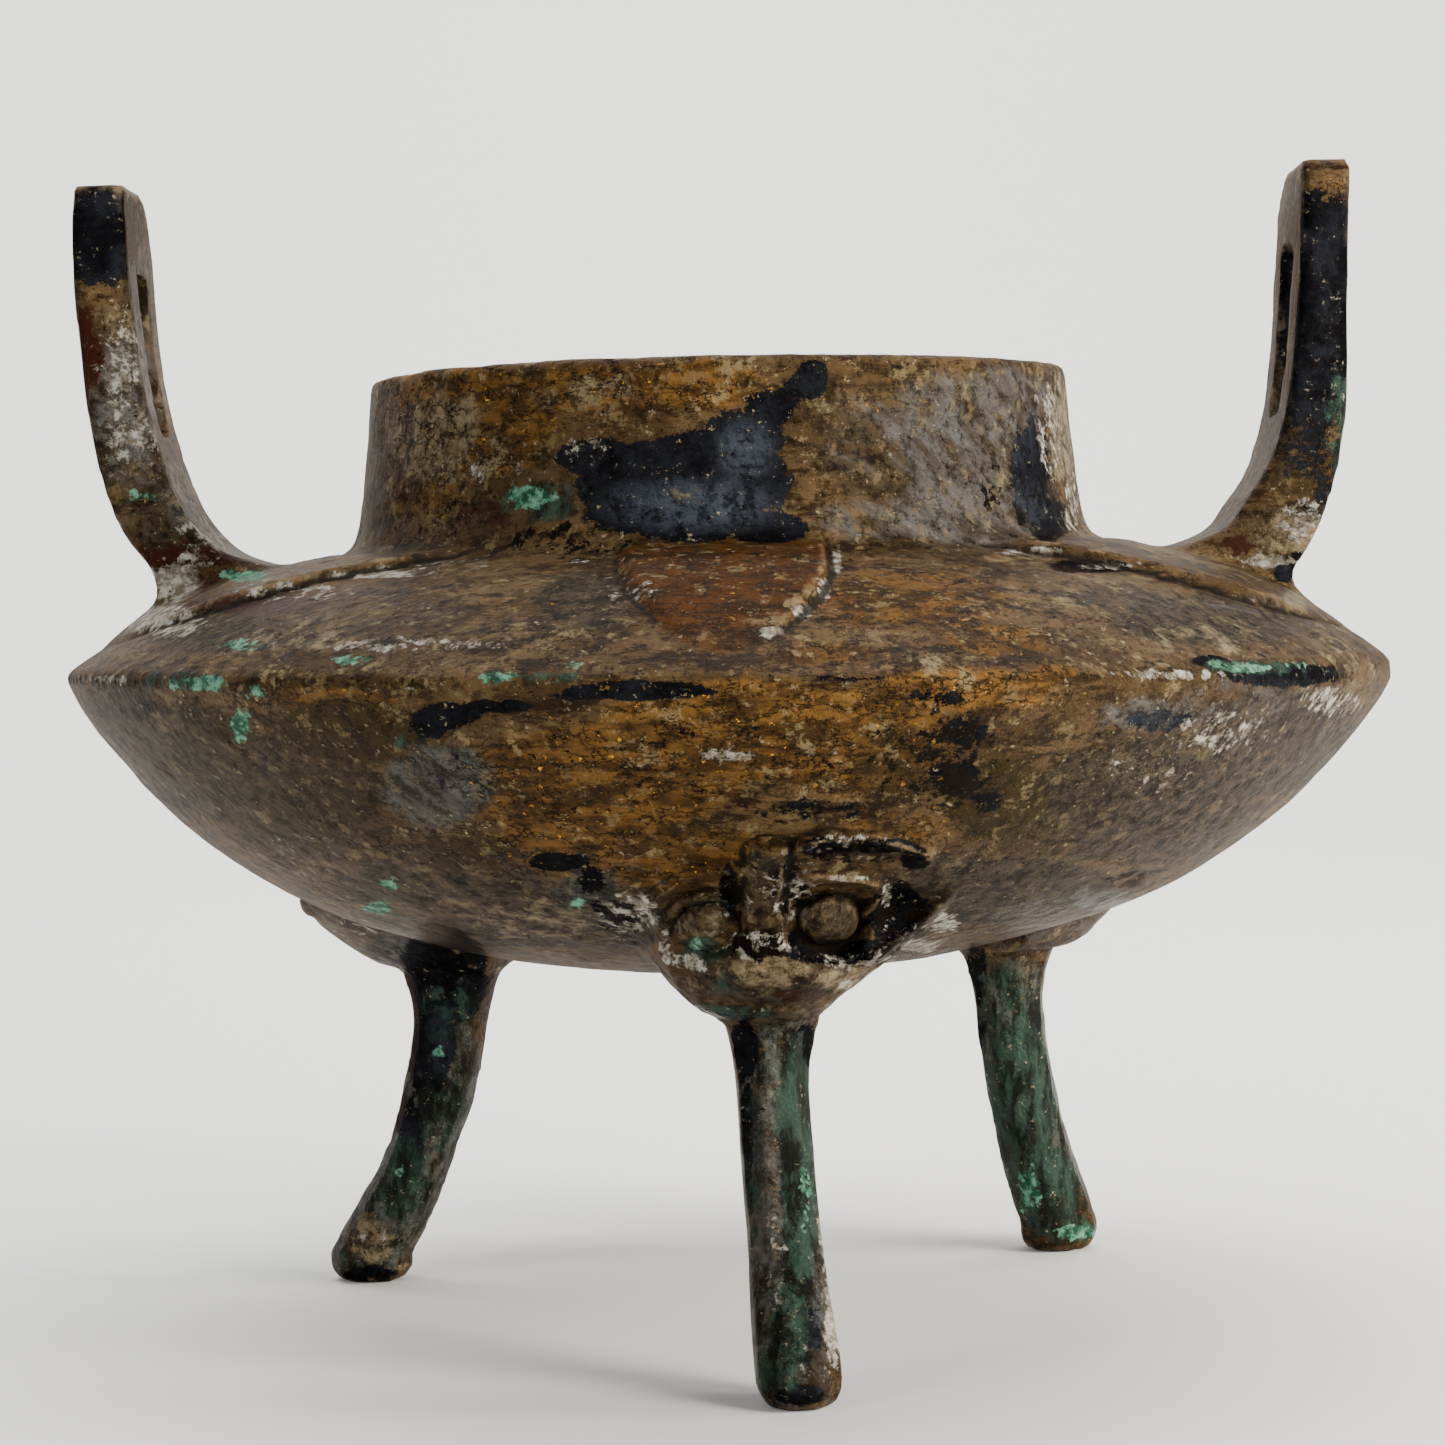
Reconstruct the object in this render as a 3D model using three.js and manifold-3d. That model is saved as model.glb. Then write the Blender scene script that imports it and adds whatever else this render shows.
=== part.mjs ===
// Small bronze ding: a squat lens-shaped vessel with a short neck, two upright
// handles on its shoulder and three outward-curving legs, all one casting.
// Millimetres, +Z up, origin on the ground under the middle of the belly.
// +Y points away from the side that carries the front leg, +X to its right.
import * as THREE from 'three';
import { mergeVertices } from 'three/addons/utils/BufferGeometryUtils.js';
import Module from 'manifold-3d';

const wasm = await Module();
wasm.setup();

// Body
const BELLY_RADIUS = 100;
const BELLY_EDGE_HEIGHT = 97;
const BELLY_DEPTH = 44;
const SHOULDER_RISE = 20;
const NECK_BASE_RADIUS = 56.4;
const NECK_HEIGHT = 26;
const RIM_RADIUS = 52.7;
const RIM_ROUNDING = 1.1;
const WALL = 2.6;
const NECK_WALL = 3;
const BODY_SEGMENTS = 52;

// The belly edge stands a little higher at the front and at the left.
const EDGE_SLOPE_X = -0.021;
const EDGE_SLOPE_Y = -0.017;

// The neck sits a little to the left, and the belly edge is blunter at the right.
const NECK_OFFSET_X = -0.7;
const RIGHT_EDGE_SWELL = 1.5;

// Raised leaf-shaped plates on the shoulder
const LEAF_STEP = 1.8;
const LEAF_OVERLAP = 1.2;
const SIDE_LEAF_HALF_WIDTH = 45;
const SIDE_LEAF_TIP = 95;
const FRONT_LEAF_HALF_WIDTH = 14.5;
const FRONT_LEAF_TIP = 95.5;

// Handles
const HANDLE_WIDTH = 25;
const HANDLE_ROOT_SPREAD = 2.5;
const HANDLE_BACK_CORNER = 10;
const HANDLE_FRONT_CORNER = 1.5;
const LEFT_HANDLE_RISE = 76.5;
const RIGHT_HANDLE_RISE = 76;
const SLOT_WIDTH = 8;
const SLOT_HEIGHT = 24.5;
const SLOT_BELOW_TOP = 13;

// Legs
const FOOT_CIRCLE_RADIUS = 65.8;
const FOOT_ROUNDING = 3.5;
const FOOT_SWELL = 0.65;
const LEG_HALF_WIDTH = 4.95;
const LEG_HALF_DEPTH = 5.65;
const LEG_SUNK_IN_BELLY = 5;
const LEG_ROOT_LENGTH = 18;
const LEG_ROOT_SWELL = 2.6;
// Each leg has a bearing in degrees at its foot, its top and its mask.
const FRONT_LEG = { foot: 6.3, top: 5, mask: 3.7, topRadius: 52.5 };
const LEFT_LEG = { foot: -113.6, top: -114.5, mask: -115, topRadius: 50 };
const RIGHT_LEG = { foot: 126.4, top: 126, mask: 121.5, topRadius: 55.2 };

// Animal masks where the legs join the belly
const MASK_HALF_WIDTH = 19;
const MASK_RISE = 9.8;
const MASK_CHIN_DROP = 18.7;
const MASK_CHIN_SET_BACK = 13.5;
const MASK_TOP_LEAN = 9;
const EYE_RADIUS = 3.6;
const EYE_SPACING = 16.5;
const EYE_DROP = 4.7;
const EYE_SET_BACK = 1.3;
const NOSE_WIDTH = 5.6;
const NOSE_DEPTH = 7;
const NOSE_SET_BACK = 0.9;
const NOSE_LEAN = 11.2;
const BROW_LENGTH = 12;
const BROW_WIDTH = 3.8;
const BROW_ARCH = 3.6;
const BROW_DEPTH = 5;
const BROW_PROUD = 3.1;

// The masks hang on the belly where its outline has this share of the radius and the depth.
const MASK_PLACE = [0.745, 0.609];

// Each pair gives a share of the belly radius and of the belly depth.
const BELLY_CURVE = [
  [0, 1], [0.2, 0.985], [0.38, 0.93], [0.562, 0.816], [0.664, 0.722], [0.749, 0.609],
  [0.829, 0.474], [0.889, 0.339], [0.942, 0.203], [0.979, 0.09],
];

// Each pair gives a share of the way in to the neck and of the shoulder rise.
const SHOULDER_CURVE = [
  [0, 0], [0.012, 0.07], [0.092, 0.2], [0.207, 0.365], [0.32, 0.5], [0.46, 0.63],
  [0.64, 0.76], [0.83, 0.865], [0.95, 0.93], [1, 1],
];

function smooth(edge0, edge1, value) {
  const t = Math.min(1, Math.max(0, (value - edge0) / (edge1 - edge0)));
  return t * t * (3 - 2 * t);
}

function bellyPoint([radiusShare, depthShare]) {
  const height = BELLY_EDGE_HEIGHT - BELLY_DEPTH * depthShare;
  return new THREE.Vector2(BELLY_RADIUS * radiusShare, height);
}

function shoulderPoint([wayIn, riseShare]) {
  const radius = THREE.MathUtils.lerp(BELLY_RADIUS, NECK_BASE_RADIUS, wayIn);
  return new THREE.Vector2(radius, BELLY_EDGE_HEIGHT + SHOULDER_RISE * riseShare);
}

function neckPoints() {
  const base = BELLY_EDGE_HEIGHT + SHOULDER_RISE;
  const points = [];
  for (const share of [0.17, 0.4, 0.65, 0.9]) {
    const inward = 1 - Math.pow(1 - share, 1.3);
    const radius = THREE.MathUtils.lerp(NECK_BASE_RADIUS - 0.6, RIM_RADIUS, inward);
    points.push(new THREE.Vector2(radius, base + NECK_HEIGHT * share));
  }
  return points;
}

// Outer line of the body from the middle of the underside to the top of the rim.
function outerLine() {
  const rimTop = BELLY_EDGE_HEIGHT + SHOULDER_RISE + NECK_HEIGHT;
  return [
    ...BELLY_CURVE.map(bellyPoint),
    ...SHOULDER_CURVE.map(shoulderPoint),
    ...neckPoints(),
    new THREE.Vector2(RIM_RADIUS - RIM_ROUNDING * 0.3, rimTop - RIM_ROUNDING * 0.3),
    new THREE.Vector2(RIM_RADIUS - RIM_ROUNDING, rimTop),
  ];
}

// Moves every point of a line inward by the wall, square to the line.
function insetLine(line, wallAt) {
  return line.map((point, i) => {
    const before = line[Math.max(0, i - 1)];
    const after = line[Math.min(line.length - 1, i + 1)];
    const a = point.clone().sub(before).normalize();
    const b = after.clone().sub(point).normalize();
    const along = a.clone().add(b).normalize();
    const reach = wallAt(point) / Math.max(0.8, along.dot(i === 0 ? b : a));
    const inset = new THREE.Vector2(point.x - along.y * reach, point.y + along.x * reach);
    inset.x = Math.max(0, inset.x);
    return inset;
  });
}

// The edge slope fades out at the neck base and at the middle of the underside.
function tiltBody(geometry) {
  const position = geometry.attributes.position;
  for (let i = 0; i < position.count; i += 1) {
    const z = position.getZ(i);
    const reach = z > BELLY_EDGE_HEIGHT ? SHOULDER_RISE : BELLY_DEPTH;
    const share = Math.max(0, 1 - Math.abs(z - BELLY_EDGE_HEIGHT) / reach);
    const lift = position.getX(i) * EDGE_SLOPE_X + position.getY(i) * EDGE_SLOPE_Y;
    const up = (z - BELLY_EDGE_HEIGHT) / SHOULDER_RISE;
    const swell = RIGHT_EDGE_SWELL * smooth(0, 0.1, up) * smooth(0.5, 0.2, up)
      * smooth(0.6, 0.95, position.getX(i) / BELLY_RADIUS);
    position.setX(i, position.getX(i) + NECK_OFFSET_X * smooth(0, 1, up));
    position.setZ(i, z + lift * share + swell);
  }
  return geometry;
}

function turnedSolid(line) {
  const geometry = new THREE.LatheGeometry(line, BODY_SEGMENTS);
  geometry.rotateX(Math.PI / 2);
  return toManifold(tiltBody(geometry));
}

function toManifold(source) {
  const geometry = source.clone();
  geometry.deleteAttribute('normal');
  geometry.deleteAttribute('uv');
  const merged = mergeVertices(geometry, 1e-4);
  const corners = [];
  const index = merged.index.array;
  for (let i = 0; i < index.length; i += 3) {
    const [a, b, c] = [index[i], index[i + 1], index[i + 2]];
    if (a !== b && b !== c && c !== a) corners.push(a, b, c);
  }
  const mesh = new wasm.Mesh({
    numProp: 3,
    vertProperties: new Float32Array(merged.attributes.position.array),
    triVerts: new Uint32Array(corners),
  });
  const solid = new wasm.Manifold(mesh);
  return solid;
}

function bodySolid() {
  const line = outerLine();
  const top = line[line.length - 1];
  return turnedSolid([...line, new THREE.Vector2(0, top.y)]);
}

// The hollow: the outer line moved in by the wall, then carried up past the rim.
function hollowSolid() {
  const neckBase = BELLY_EDGE_HEIGHT + SHOULDER_RISE;
  const change = 0.2 * SHOULDER_RISE;
  const wallAt = (point) => THREE.MathUtils.lerp(
    WALL, NECK_WALL, smooth(neckBase - change, neckBase + change, point.y));
  const outer = outerLine();
  const inner = insetLine(outer.slice(0, outer.length - 2), wallAt);
  const rimTop = neckBase + NECK_HEIGHT;
  const mouth = RIM_RADIUS - NECK_WALL;
  const bevel = 0.3 * RIM_ROUNDING;
  const above = rimTop + 2 * NECK_WALL;
  inner.push(new THREE.Vector2(mouth, rimTop - 2 * bevel));
  inner.push(new THREE.Vector2(mouth + bevel, rimTop));
  inner.push(new THREE.Vector2(mouth + bevel, above));
  inner.push(new THREE.Vector2(0, above));
  return turnedSolid(inner);
}

// A ring of metal lying on the shoulder, as thick as a leaf plate.
function raisedShoulder(tipRadius) {
  const thinOut = (radius) => LEAF_STEP * smooth(1.03, 0.875, radius / tipRadius)
    * (0.3 + 0.7 * smooth(0.98, 1.14, radius / NECK_BASE_RADIUS));
  const shoulder = SHOULDER_CURVE.slice(1).map(shoulderPoint);
  const above = shoulder.map((p) => new THREE.Vector2(p.x, p.y + thinOut(p.x)));
  const sunk = shoulder.map((p) => new THREE.Vector2(p.x - LEAF_OVERLAP * 0.4, p.y - LEAF_OVERLAP));
  return turnedSolid([...above, ...sunk.reverse(), above[0].clone()]);
}

// A leaf seen from above: straight sides by the neck, drawn in to a pointed tip.
function leafPrism(halfWidth, tipRadius, direction) {
  const start = NECK_BASE_RADIUS * 0.5;
  const bend = tipRadius * 0.7;
  const side = [];
  for (let i = 0; i <= 8; i += 1) {
    const share = i / 8;
    const along = THREE.MathUtils.lerp(bend, tipRadius, Math.sin(share * Math.PI / 2));
    side.push(new THREE.Vector2(along, halfWidth * Math.pow(Math.cos(share * Math.PI / 2), 1.15)));
  }
  const outline = [new THREE.Vector2(start, halfWidth), ...side];
  const mirrored = outline.slice(0, -1).reverse().map((p) => new THREE.Vector2(p.x, -p.y));
  const shape = new THREE.Shape([...outline, ...mirrored].reverse());
  const depth = SHOULDER_RISE * 3;
  const geometry = new THREE.ExtrudeGeometry(shape, { depth, bevelEnabled: false, steps: 1 });
  geometry.rotateZ(direction);
  geometry.translate(0, 0, BELLY_EDGE_HEIGHT - SHOULDER_RISE * 0.4);
  return toManifold(geometry);
}

function leafPlates() {
  const quarter = Math.PI / 2;
  const sideRing = raisedShoulder(SIDE_LEAF_TIP);
  const frontRing = raisedShoulder(FRONT_LEAF_TIP);
  const right = sideRing.intersect(leafPrism(SIDE_LEAF_HALF_WIDTH, SIDE_LEAF_TIP, 0));
  const left = sideRing.intersect(leafPrism(SIDE_LEAF_HALF_WIDTH, SIDE_LEAF_TIP, 2 * quarter));
  const front = frontRing.intersect(leafPrism(FRONT_LEAF_HALF_WIDTH, FRONT_LEAF_TIP, -quarter));
  const back = frontRing.intersect(leafPrism(FRONT_LEAF_HALF_WIDTH, FRONT_LEAF_TIP, quarter));
  return right.add(left).add(front).add(back);
}

// Handle blades seen from the front. Each row: height below the top, then how far
// the outer and the inner face lie in from the belly edge.
const LEFT_BLADE = [
  [0, 3.6, 11.2], [13, 3.3, 11.6], [25, 4, 12.6], [34, 4.9, 14], [42, 6, 16],
  [48, 7.6, 18.3], [52.5, 9.6, 21.2], [55.6, 11.9, 25], [58, 13.7, 31],
  [62, 14.6, 38], [65.5, 13.4, 40], [69, 9, 40],
];
const RIGHT_BLADE = [
  [0, 5.5, 12.4], [15, 5.7, 13.1], [26, 6, 14], [35.5, 6.3, 15.2], [42, 7, 16.8],
  [47, 8.1, 19], [51, 9.4, 21.8], [55, 11.1, 25], [58, 12.8, 32],
  [62, 15.4, 38], [66, 14.4, 40], [70, 9.5, 40],
];

function bladeSolid(rows, top, side) {
  const place = (down, inward) => new THREE.Vector2(side * (BELLY_RADIUS - inward), top - down);
  const outer = rows.map(([down, outerFace]) => place(down, outerFace));
  const inner = rows.map(([down, , innerFace]) => place(down, innerFace)).reverse();
  const corners = [...outer, ...inner];
  const shape = new THREE.Shape(side > 0 ? corners.reverse() : corners);
  const depth = HANDLE_WIDTH * 1.4;
  const geometry = new THREE.ExtrudeGeometry(shape, { depth, bevelEnabled: false, steps: 1 });
  geometry.translate(0, 0, -depth / 2);
  geometry.rotateX(Math.PI / 2);
  return toManifold(geometry);
}

// Prism along X at one side of the body, whose outline is drawn in Y and Z.
function sidePrism(outline, side) {
  const [near, far] = [0.5 * BELLY_RADIUS, 1.1 * BELLY_RADIUS];
  const shape = new THREE.Shape(outline);
  const geometry = new THREE.ExtrudeGeometry(shape, { depth: far - near, bevelEnabled: false, steps: 1 });
  geometry.rotateX(Math.PI / 2);
  geometry.rotateZ(Math.PI / 2);
  geometry.translate(side > 0 ? near : -far, 0, 0);
  return toManifold(geometry);
}

function cornerArc(cy, cz, radius, from, to, steps) {
  const points = [];
  for (let i = 0; i <= steps; i += 1) {
    const angle = THREE.MathUtils.degToRad(THREE.MathUtils.lerp(from, to, i / steps));
    points.push(new THREE.Vector2(cy + radius * Math.cos(angle), cz + radius * Math.sin(angle)));
  }
  return points;
}

function handleOutline(top, rise) {
  const half = HANDLE_WIDTH / 2;
  const root = top - rise;
  const bend = top - rise * 0.745;
  const straight = top - rise * 0.63;
  const back = cornerArc(half - HANDLE_BACK_CORNER, top - HANDLE_BACK_CORNER, HANDLE_BACK_CORNER, 0, 90, 6);
  const front = cornerArc(
    -half + HANDLE_FRONT_CORNER, top - HANDLE_FRONT_CORNER, HANDLE_FRONT_CORNER, 90, 180, 2);
  return [
    new THREE.Vector2(-half - HANDLE_ROOT_SPREAD, root),
    new THREE.Vector2(half + HANDLE_ROOT_SPREAD, root),
    new THREE.Vector2(half + HANDLE_ROOT_SPREAD * 0.4, bend), new THREE.Vector2(half, straight),
    ...back, ...front,
    new THREE.Vector2(-half, straight), new THREE.Vector2(-half - HANDLE_ROOT_SPREAD * 0.4, bend),
  ];
}

function slotSolid(ceiling, side) {
  const half = SLOT_WIDTH / 2;
  const sill = ceiling - SLOT_HEIGHT;
  return sidePrism([
    new THREE.Vector2(-half, sill), new THREE.Vector2(half, sill),
    new THREE.Vector2(half, ceiling), new THREE.Vector2(-half, ceiling),
  ], side);
}

function handleSolid(rows, rise, side) {
  const top = BELLY_EDGE_HEIGHT + rise;
  return bladeSolid(rows, top, side)
    .intersect(sidePrism(handleOutline(top, rise), side))
    .subtract(slotSolid(top - SLOT_BELOW_TOP, side));
}

// Closed solid through level rings of points, all rings with the same count.
function ringSolid(rings) {
  const count = rings[0].length;
  const vertices = rings.flat().flatMap((p) => [p.x, p.y, p.z]);
  const faces = [];
  for (let r = 0; r < rings.length - 1; r += 1) {
    for (let i = 0; i < count; i += 1) {
      const j = (i + 1) % count;
      const [a, b, c, d] = [r * count + i, r * count + j, (r + 1) * count + j, (r + 1) * count + i];
      faces.push(a, b, c, a, c, d);
    }
  }
  const last = (rings.length - 1) * count;
  for (let i = 1; i < count - 1; i += 1) {
    faces.push(0, i + 1, i);
    faces.push(last, last + i, last + i + 1);
  }
  const geometry = new THREE.BufferGeometry();
  geometry.setAttribute('position', new THREE.Float32BufferAttribute(vertices, 3));
  geometry.setIndex(faces);
  return toManifold(geometry);
}

// Point at a distance out from the axis and to the side of a bearing.
// A bearing of zero points to the front and grows towards +X.
function polar(bearing, out, aside, height) {
  const turn = THREE.MathUtils.degToRad(bearing);
  const x = out * Math.sin(turn) + aside * Math.cos(turn);
  const y = -out * Math.cos(turn) + aside * Math.sin(turn);
  return new THREE.Vector3(x, y, height);
}

function legTop() {
  return BELLY_EDGE_HEIGHT - BELLY_DEPTH + LEG_SUNK_IN_BELLY;
}

// Distance of a leg's middle from the axis: upright at the top, swinging out below.
function legRadius(leg, height) {
  const up = Math.max(height, 1.3 * FOOT_ROUNDING) / legTop();
  const swing = Math.pow(Math.max(0, 1 - 1.2 * up), 1.9);
  return leg.topRadius + (FOOT_CIRCLE_RADIUS - leg.topRadius) * 1.19 * swing;
}

// Leg section: an octagon with two flatter sides, swelling at foot and root.
function legRing(leg, height) {
  const top = legTop();
  const swell = FOOT_SWELL * smooth(0.4, 0.1, height / top);
  const root = LEG_ROOT_SWELL * Math.pow(smooth(top - LEG_ROOT_LENGTH, top, height), 1.3);
  const end = 0.62 + 0.38 * Math.sqrt(Math.min(1, height / FOOT_ROUNDING));
  const halfWidth = (LEG_HALF_WIDTH + swell + root) * end;
  const halfDepth = (LEG_HALF_DEPTH + swell * 1.25 + root * 1.3) * end;
  const bearing = THREE.MathUtils.lerp(leg.foot, leg.top, smooth(0, 0.83, height / top));
  const out = legRadius(leg, height);
  const flat = 0.44;
  const corners = [
    [1, -flat], [1, flat], [flat, 1], [-flat, 1],
    [-1, flat], [-1, -flat], [-flat, -1], [flat, -1],
  ];
  return corners.map(([u, v]) => polar(bearing, out - v * halfDepth, u * halfWidth, height));
}

function legSolid(leg) {
  const steps = 12;
  const levels = [0, 0.3 * FOOT_ROUNDING];
  for (let i = 0; i <= steps; i += 1) {
    levels.push(THREE.MathUtils.lerp(FOOT_ROUNDING, legTop(), i / steps));
  }
  return ringSolid(levels.map((height) => legRing(leg, height)));
}

// Mask block: a corbel under the belly whose face runs up onto the belly.
function maskRing(leg, share) {
  const place = bellyPoint(MASK_PLACE);
  const height = place.y - MASK_CHIN_DROP + (MASK_CHIN_DROP + MASK_RISE) * share;
  const widening = Math.pow(Math.min(1, share / 0.5), 0.62);
  const halfWidth = MASK_HALF_WIDTH * (0.33 + 0.67 * widening) * (1 - 0.5 * smooth(0.6, 1, share));
  const forward = 1 - Math.pow(Math.min(1, share / 0.55), 0.6);
  const lean = MASK_TOP_LEAN * Math.pow(smooth(0.5, 1.05, share), 1.3);
  const front = place.x - MASK_CHIN_SET_BACK * forward + lean;
  const rear = THREE.MathUtils.lerp(leg.topRadius - 2, front - 6, smooth(0, 0.9, share));
  const outline = [
    [-0.7, 0], [-1, 0.35], [-1, 0.62], [-0.72, 0.9], [-0.3, 1],
    [0.3, 1], [0.72, 0.9], [1, 0.62], [1, 0.35], [0.7, 0],
  ];
  const corner = (u, v) => polar(leg.mask, THREE.MathUtils.lerp(rear, front, v), u * halfWidth, height);
  return outline.map(([u, v]) => corner(u, v));
}

function maskBlock(leg) {
  const steps = 8;
  const rings = [];
  for (let i = 0; i <= steps; i += 1) rings.push(maskRing(leg, i / steps));
  return ringSolid(rings);
}

function eyeSolid(leg, aside) {
  const place = bellyPoint(MASK_PLACE);
  const geometry = new THREE.SphereGeometry(EYE_RADIUS, 10, 6);
  const centre = polar(leg.mask, place.x - EYE_SET_BACK, aside, place.y - EYE_DROP);
  geometry.translate(centre.x, centre.y, centre.z);
  return toManifold(geometry);
}

// Nose: a ridge down the middle of the mask, widest half way and proud of its face.
function noseSolid(leg) {
  const place = bellyPoint(MASK_PLACE);
  const steps = 4;
  const rings = [];
  for (let i = 0; i <= steps; i += 1) {
    const share = i / steps;
    const height = place.y - 0.65 * MASK_CHIN_DROP + (0.65 * MASK_CHIN_DROP + 0.95 * MASK_RISE) * share;
    const front = place.x - NOSE_SET_BACK + NOSE_LEAN * Math.pow(share, 1.15);
    const half = NOSE_WIDTH / 2 * (0.6 + 0.5 * Math.sin(Math.PI * (0.25 + 0.7 * share)));
    const ring = [
      [-half, -1], [half, -1], [half, -0.23], [half * 0.5, 0], [-half * 0.5, 0], [-half, -0.23],
    ];
    rings.push(ring.map(([aside, out]) => polar(leg.mask, front + out * NOSE_DEPTH, aside, height)));
  }
  return ringSolid(rings.map((ring) => ring.reverse()));
}

// Brow: a curved ridge above each eye, rising from the nose and falling to the temple.
function browSolid(leg, side) {
  const place = bellyPoint(MASK_PLACE);
  const steps = 5;
  const rings = [];
  for (let i = 0; i <= steps; i += 1) {
    const share = i / steps;
    const aside = side * (NOSE_WIDTH * 0.45 + BROW_LENGTH * share);
    const rise = BROW_ARCH * Math.sin(share * Math.PI * 0.8);
    const front = place.x + BROW_PROUD * (1 - share * share) + 0.1 * BROW_ARCH * rise;
    const half = BROW_WIDTH / 2 * (1 - 0.45 * share);
    const ring = [[-half, -BROW_DEPTH], [half, -BROW_DEPTH], [half * 0.7, 0], [-half * 0.7, 0]];
    rings.push(ring.map(([up, out]) => polar(leg.mask, front + out, aside, place.y + rise + up)));
  }
  return ringSolid(side > 0 ? rings : rings.map((ring) => ring.reverse()));
}

function maskSolid(leg) {
  const half = EYE_SPACING / 2;
  return maskBlock(leg)
    .add(eyeSolid(leg, half)).add(eyeSolid(leg, -half))
    .add(noseSolid(leg))
    .add(browSolid(leg, 1)).add(browSolid(leg, -1));
}

function dingSolid() {
  let vessel = bodySolid().add(leafPlates());
  vessel = vessel.add(handleSolid(LEFT_BLADE, LEFT_HANDLE_RISE, -1));
  vessel = vessel.add(handleSolid(RIGHT_BLADE, RIGHT_HANDLE_RISE, 1));
  for (const leg of [FRONT_LEG, LEFT_LEG, RIGHT_LEG]) {
    vessel = vessel.add(legSolid(leg)).add(maskSolid(leg));
  }
  return vessel.subtract(hollowSolid());
}

function toGeometry(solid) {
  const mesh = solid.getMesh();
  const geometry = new THREE.BufferGeometry();
  geometry.setAttribute('position', new THREE.BufferAttribute(new Float32Array(mesh.vertProperties), 3));
  geometry.setIndex(new THREE.BufferAttribute(new Uint32Array(mesh.triVerts), 1));
  geometry.computeVertexNormals();
  return geometry;
}

const bronze = new THREE.MeshStandardMaterial({ color: 0x7a6440, metalness: 0.8, roughness: 0.45 });
const ding = new THREE.Mesh(toGeometry(dingSolid()), bronze);
ding.name = 'ding';

const part = new THREE.Group();
part.name = 'bronze_ding';
part.add(ding);

export default part;
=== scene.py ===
"""Small bronze ding on three legs, with two upright handles and corroded patches."""

import math

import bmesh
import bpy
import numpy as np
from mathutils import Matrix, Vector


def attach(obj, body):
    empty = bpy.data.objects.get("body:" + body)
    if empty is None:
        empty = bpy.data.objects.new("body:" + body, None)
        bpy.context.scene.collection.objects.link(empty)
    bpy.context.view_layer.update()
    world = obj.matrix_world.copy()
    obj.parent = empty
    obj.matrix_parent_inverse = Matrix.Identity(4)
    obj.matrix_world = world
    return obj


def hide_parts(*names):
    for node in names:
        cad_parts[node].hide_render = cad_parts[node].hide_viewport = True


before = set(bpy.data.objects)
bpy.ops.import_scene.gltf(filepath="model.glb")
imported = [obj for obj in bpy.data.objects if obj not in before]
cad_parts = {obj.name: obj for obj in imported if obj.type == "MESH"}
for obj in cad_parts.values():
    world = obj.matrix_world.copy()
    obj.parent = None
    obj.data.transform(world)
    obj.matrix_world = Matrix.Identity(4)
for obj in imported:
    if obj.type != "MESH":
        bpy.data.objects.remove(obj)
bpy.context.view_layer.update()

# All sizes below are millimetres in the frame of the part, unless a comment says otherwise.
# The picture's camera in the vessel's frame, fitted to the rim, the belly edge and the feet. Its
# turns are radians and the picture's size is pixels.
VIEW_PLACE = (-1.1, -523.64, 110.82)
VIEW_DOWN = 0.0396
VIEW_ROLL = 0.023
VIEW_TURN = Matrix.Rotation(math.pi / 2 - VIEW_DOWN, 3, "X") @ Matrix.Rotation(-VIEW_ROLL, 3, "Z")
VIEW_LENS = 84.9
SENSOR_WIDTH = 36.0
PICTURE_SIZE = 1445
PICTURE_MIDDLE = PICTURE_SIZE / 2
VIEW_SCALE = VIEW_LENS / SENSOR_WIDTH * PICTURE_SIZE

BELLY_RADIUS = 100.0
BELLY_EDGE_HEIGHT = 97.0
BELLY_DEPTH = 44.0
SHOULDER_RISE = 20.0
NECK_BASE_RADIUS = 56.4
NECK_HEIGHT = 26.0
RIM_RADIUS = 52.7
WALL = 2.6
NECK_WALL = 3.0
RIM_TOP = BELLY_EDGE_HEIGHT + SHOULDER_RISE + NECK_HEIGHT

EDGE_SLOPE_X = -0.021
EDGE_SLOPE_Y = -0.017
NECK_OFFSET_X = -0.7
RIGHT_EDGE_SWELL = 1.5

LEAF_STEP = 1.9
SIDE_LEAF_HALF_WIDTH = 45.0
SIDE_LEAF_TIP = 95.0
FRONT_LEAF_HALF_WIDTH = 14.5
FRONT_LEAF_TIP = 95.5

HANDLE_WIDTH = 25.0
HANDLE_ROOT_SPREAD = 2.5
HANDLE_BACK_CORNER = 10.0
HANDLE_FRONT_CORNER = 1.5
HANDLE_ROUNDING = 1.3
LEFT_HANDLE_TOP = 173.5
RIGHT_HANDLE_TOP = 173.0
SLOT_WIDTH = 8.0
SLOT_HEIGHT = 24.5
SLOT_BELOW_TOP = 13.0
SLOT_CORNER = 1.5
SLOT_ROUNDING = 0.6

FOOT_CIRCLE_RADIUS = 65.8
FOOT_ROUNDING = 3.5
FOOT_SWELL = 0.65
LEG_TOP = 58.0
LEG_HALF_WIDTH = 4.95
LEG_HALF_DEPTH = 5.65
LEG_SQUARENESS = 3.2

# Each leg: bearing in degrees at its foot, its top and its mask, and its distance from the axis.
FRONT_LEG = {"foot": 6.3, "top": 5.0, "mask": 3.7, "top_radius": 52.5}
LEFT_LEG = {"foot": -113.6, "top": -114.5, "mask": -115.0, "top_radius": 50.0}
RIGHT_LEG = {"foot": 126.4, "top": 126.0, "mask": 121.5, "top_radius": 55.2}

MASK_HALF_WIDTH = 19.0
MASK_CHIN_HEIGHT = 51.5
MASK_TOP_HEIGHT = 80.0
MASK_SQUARENESS = 2.6
MASK_RELIEF_SHARE = 0.8

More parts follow.
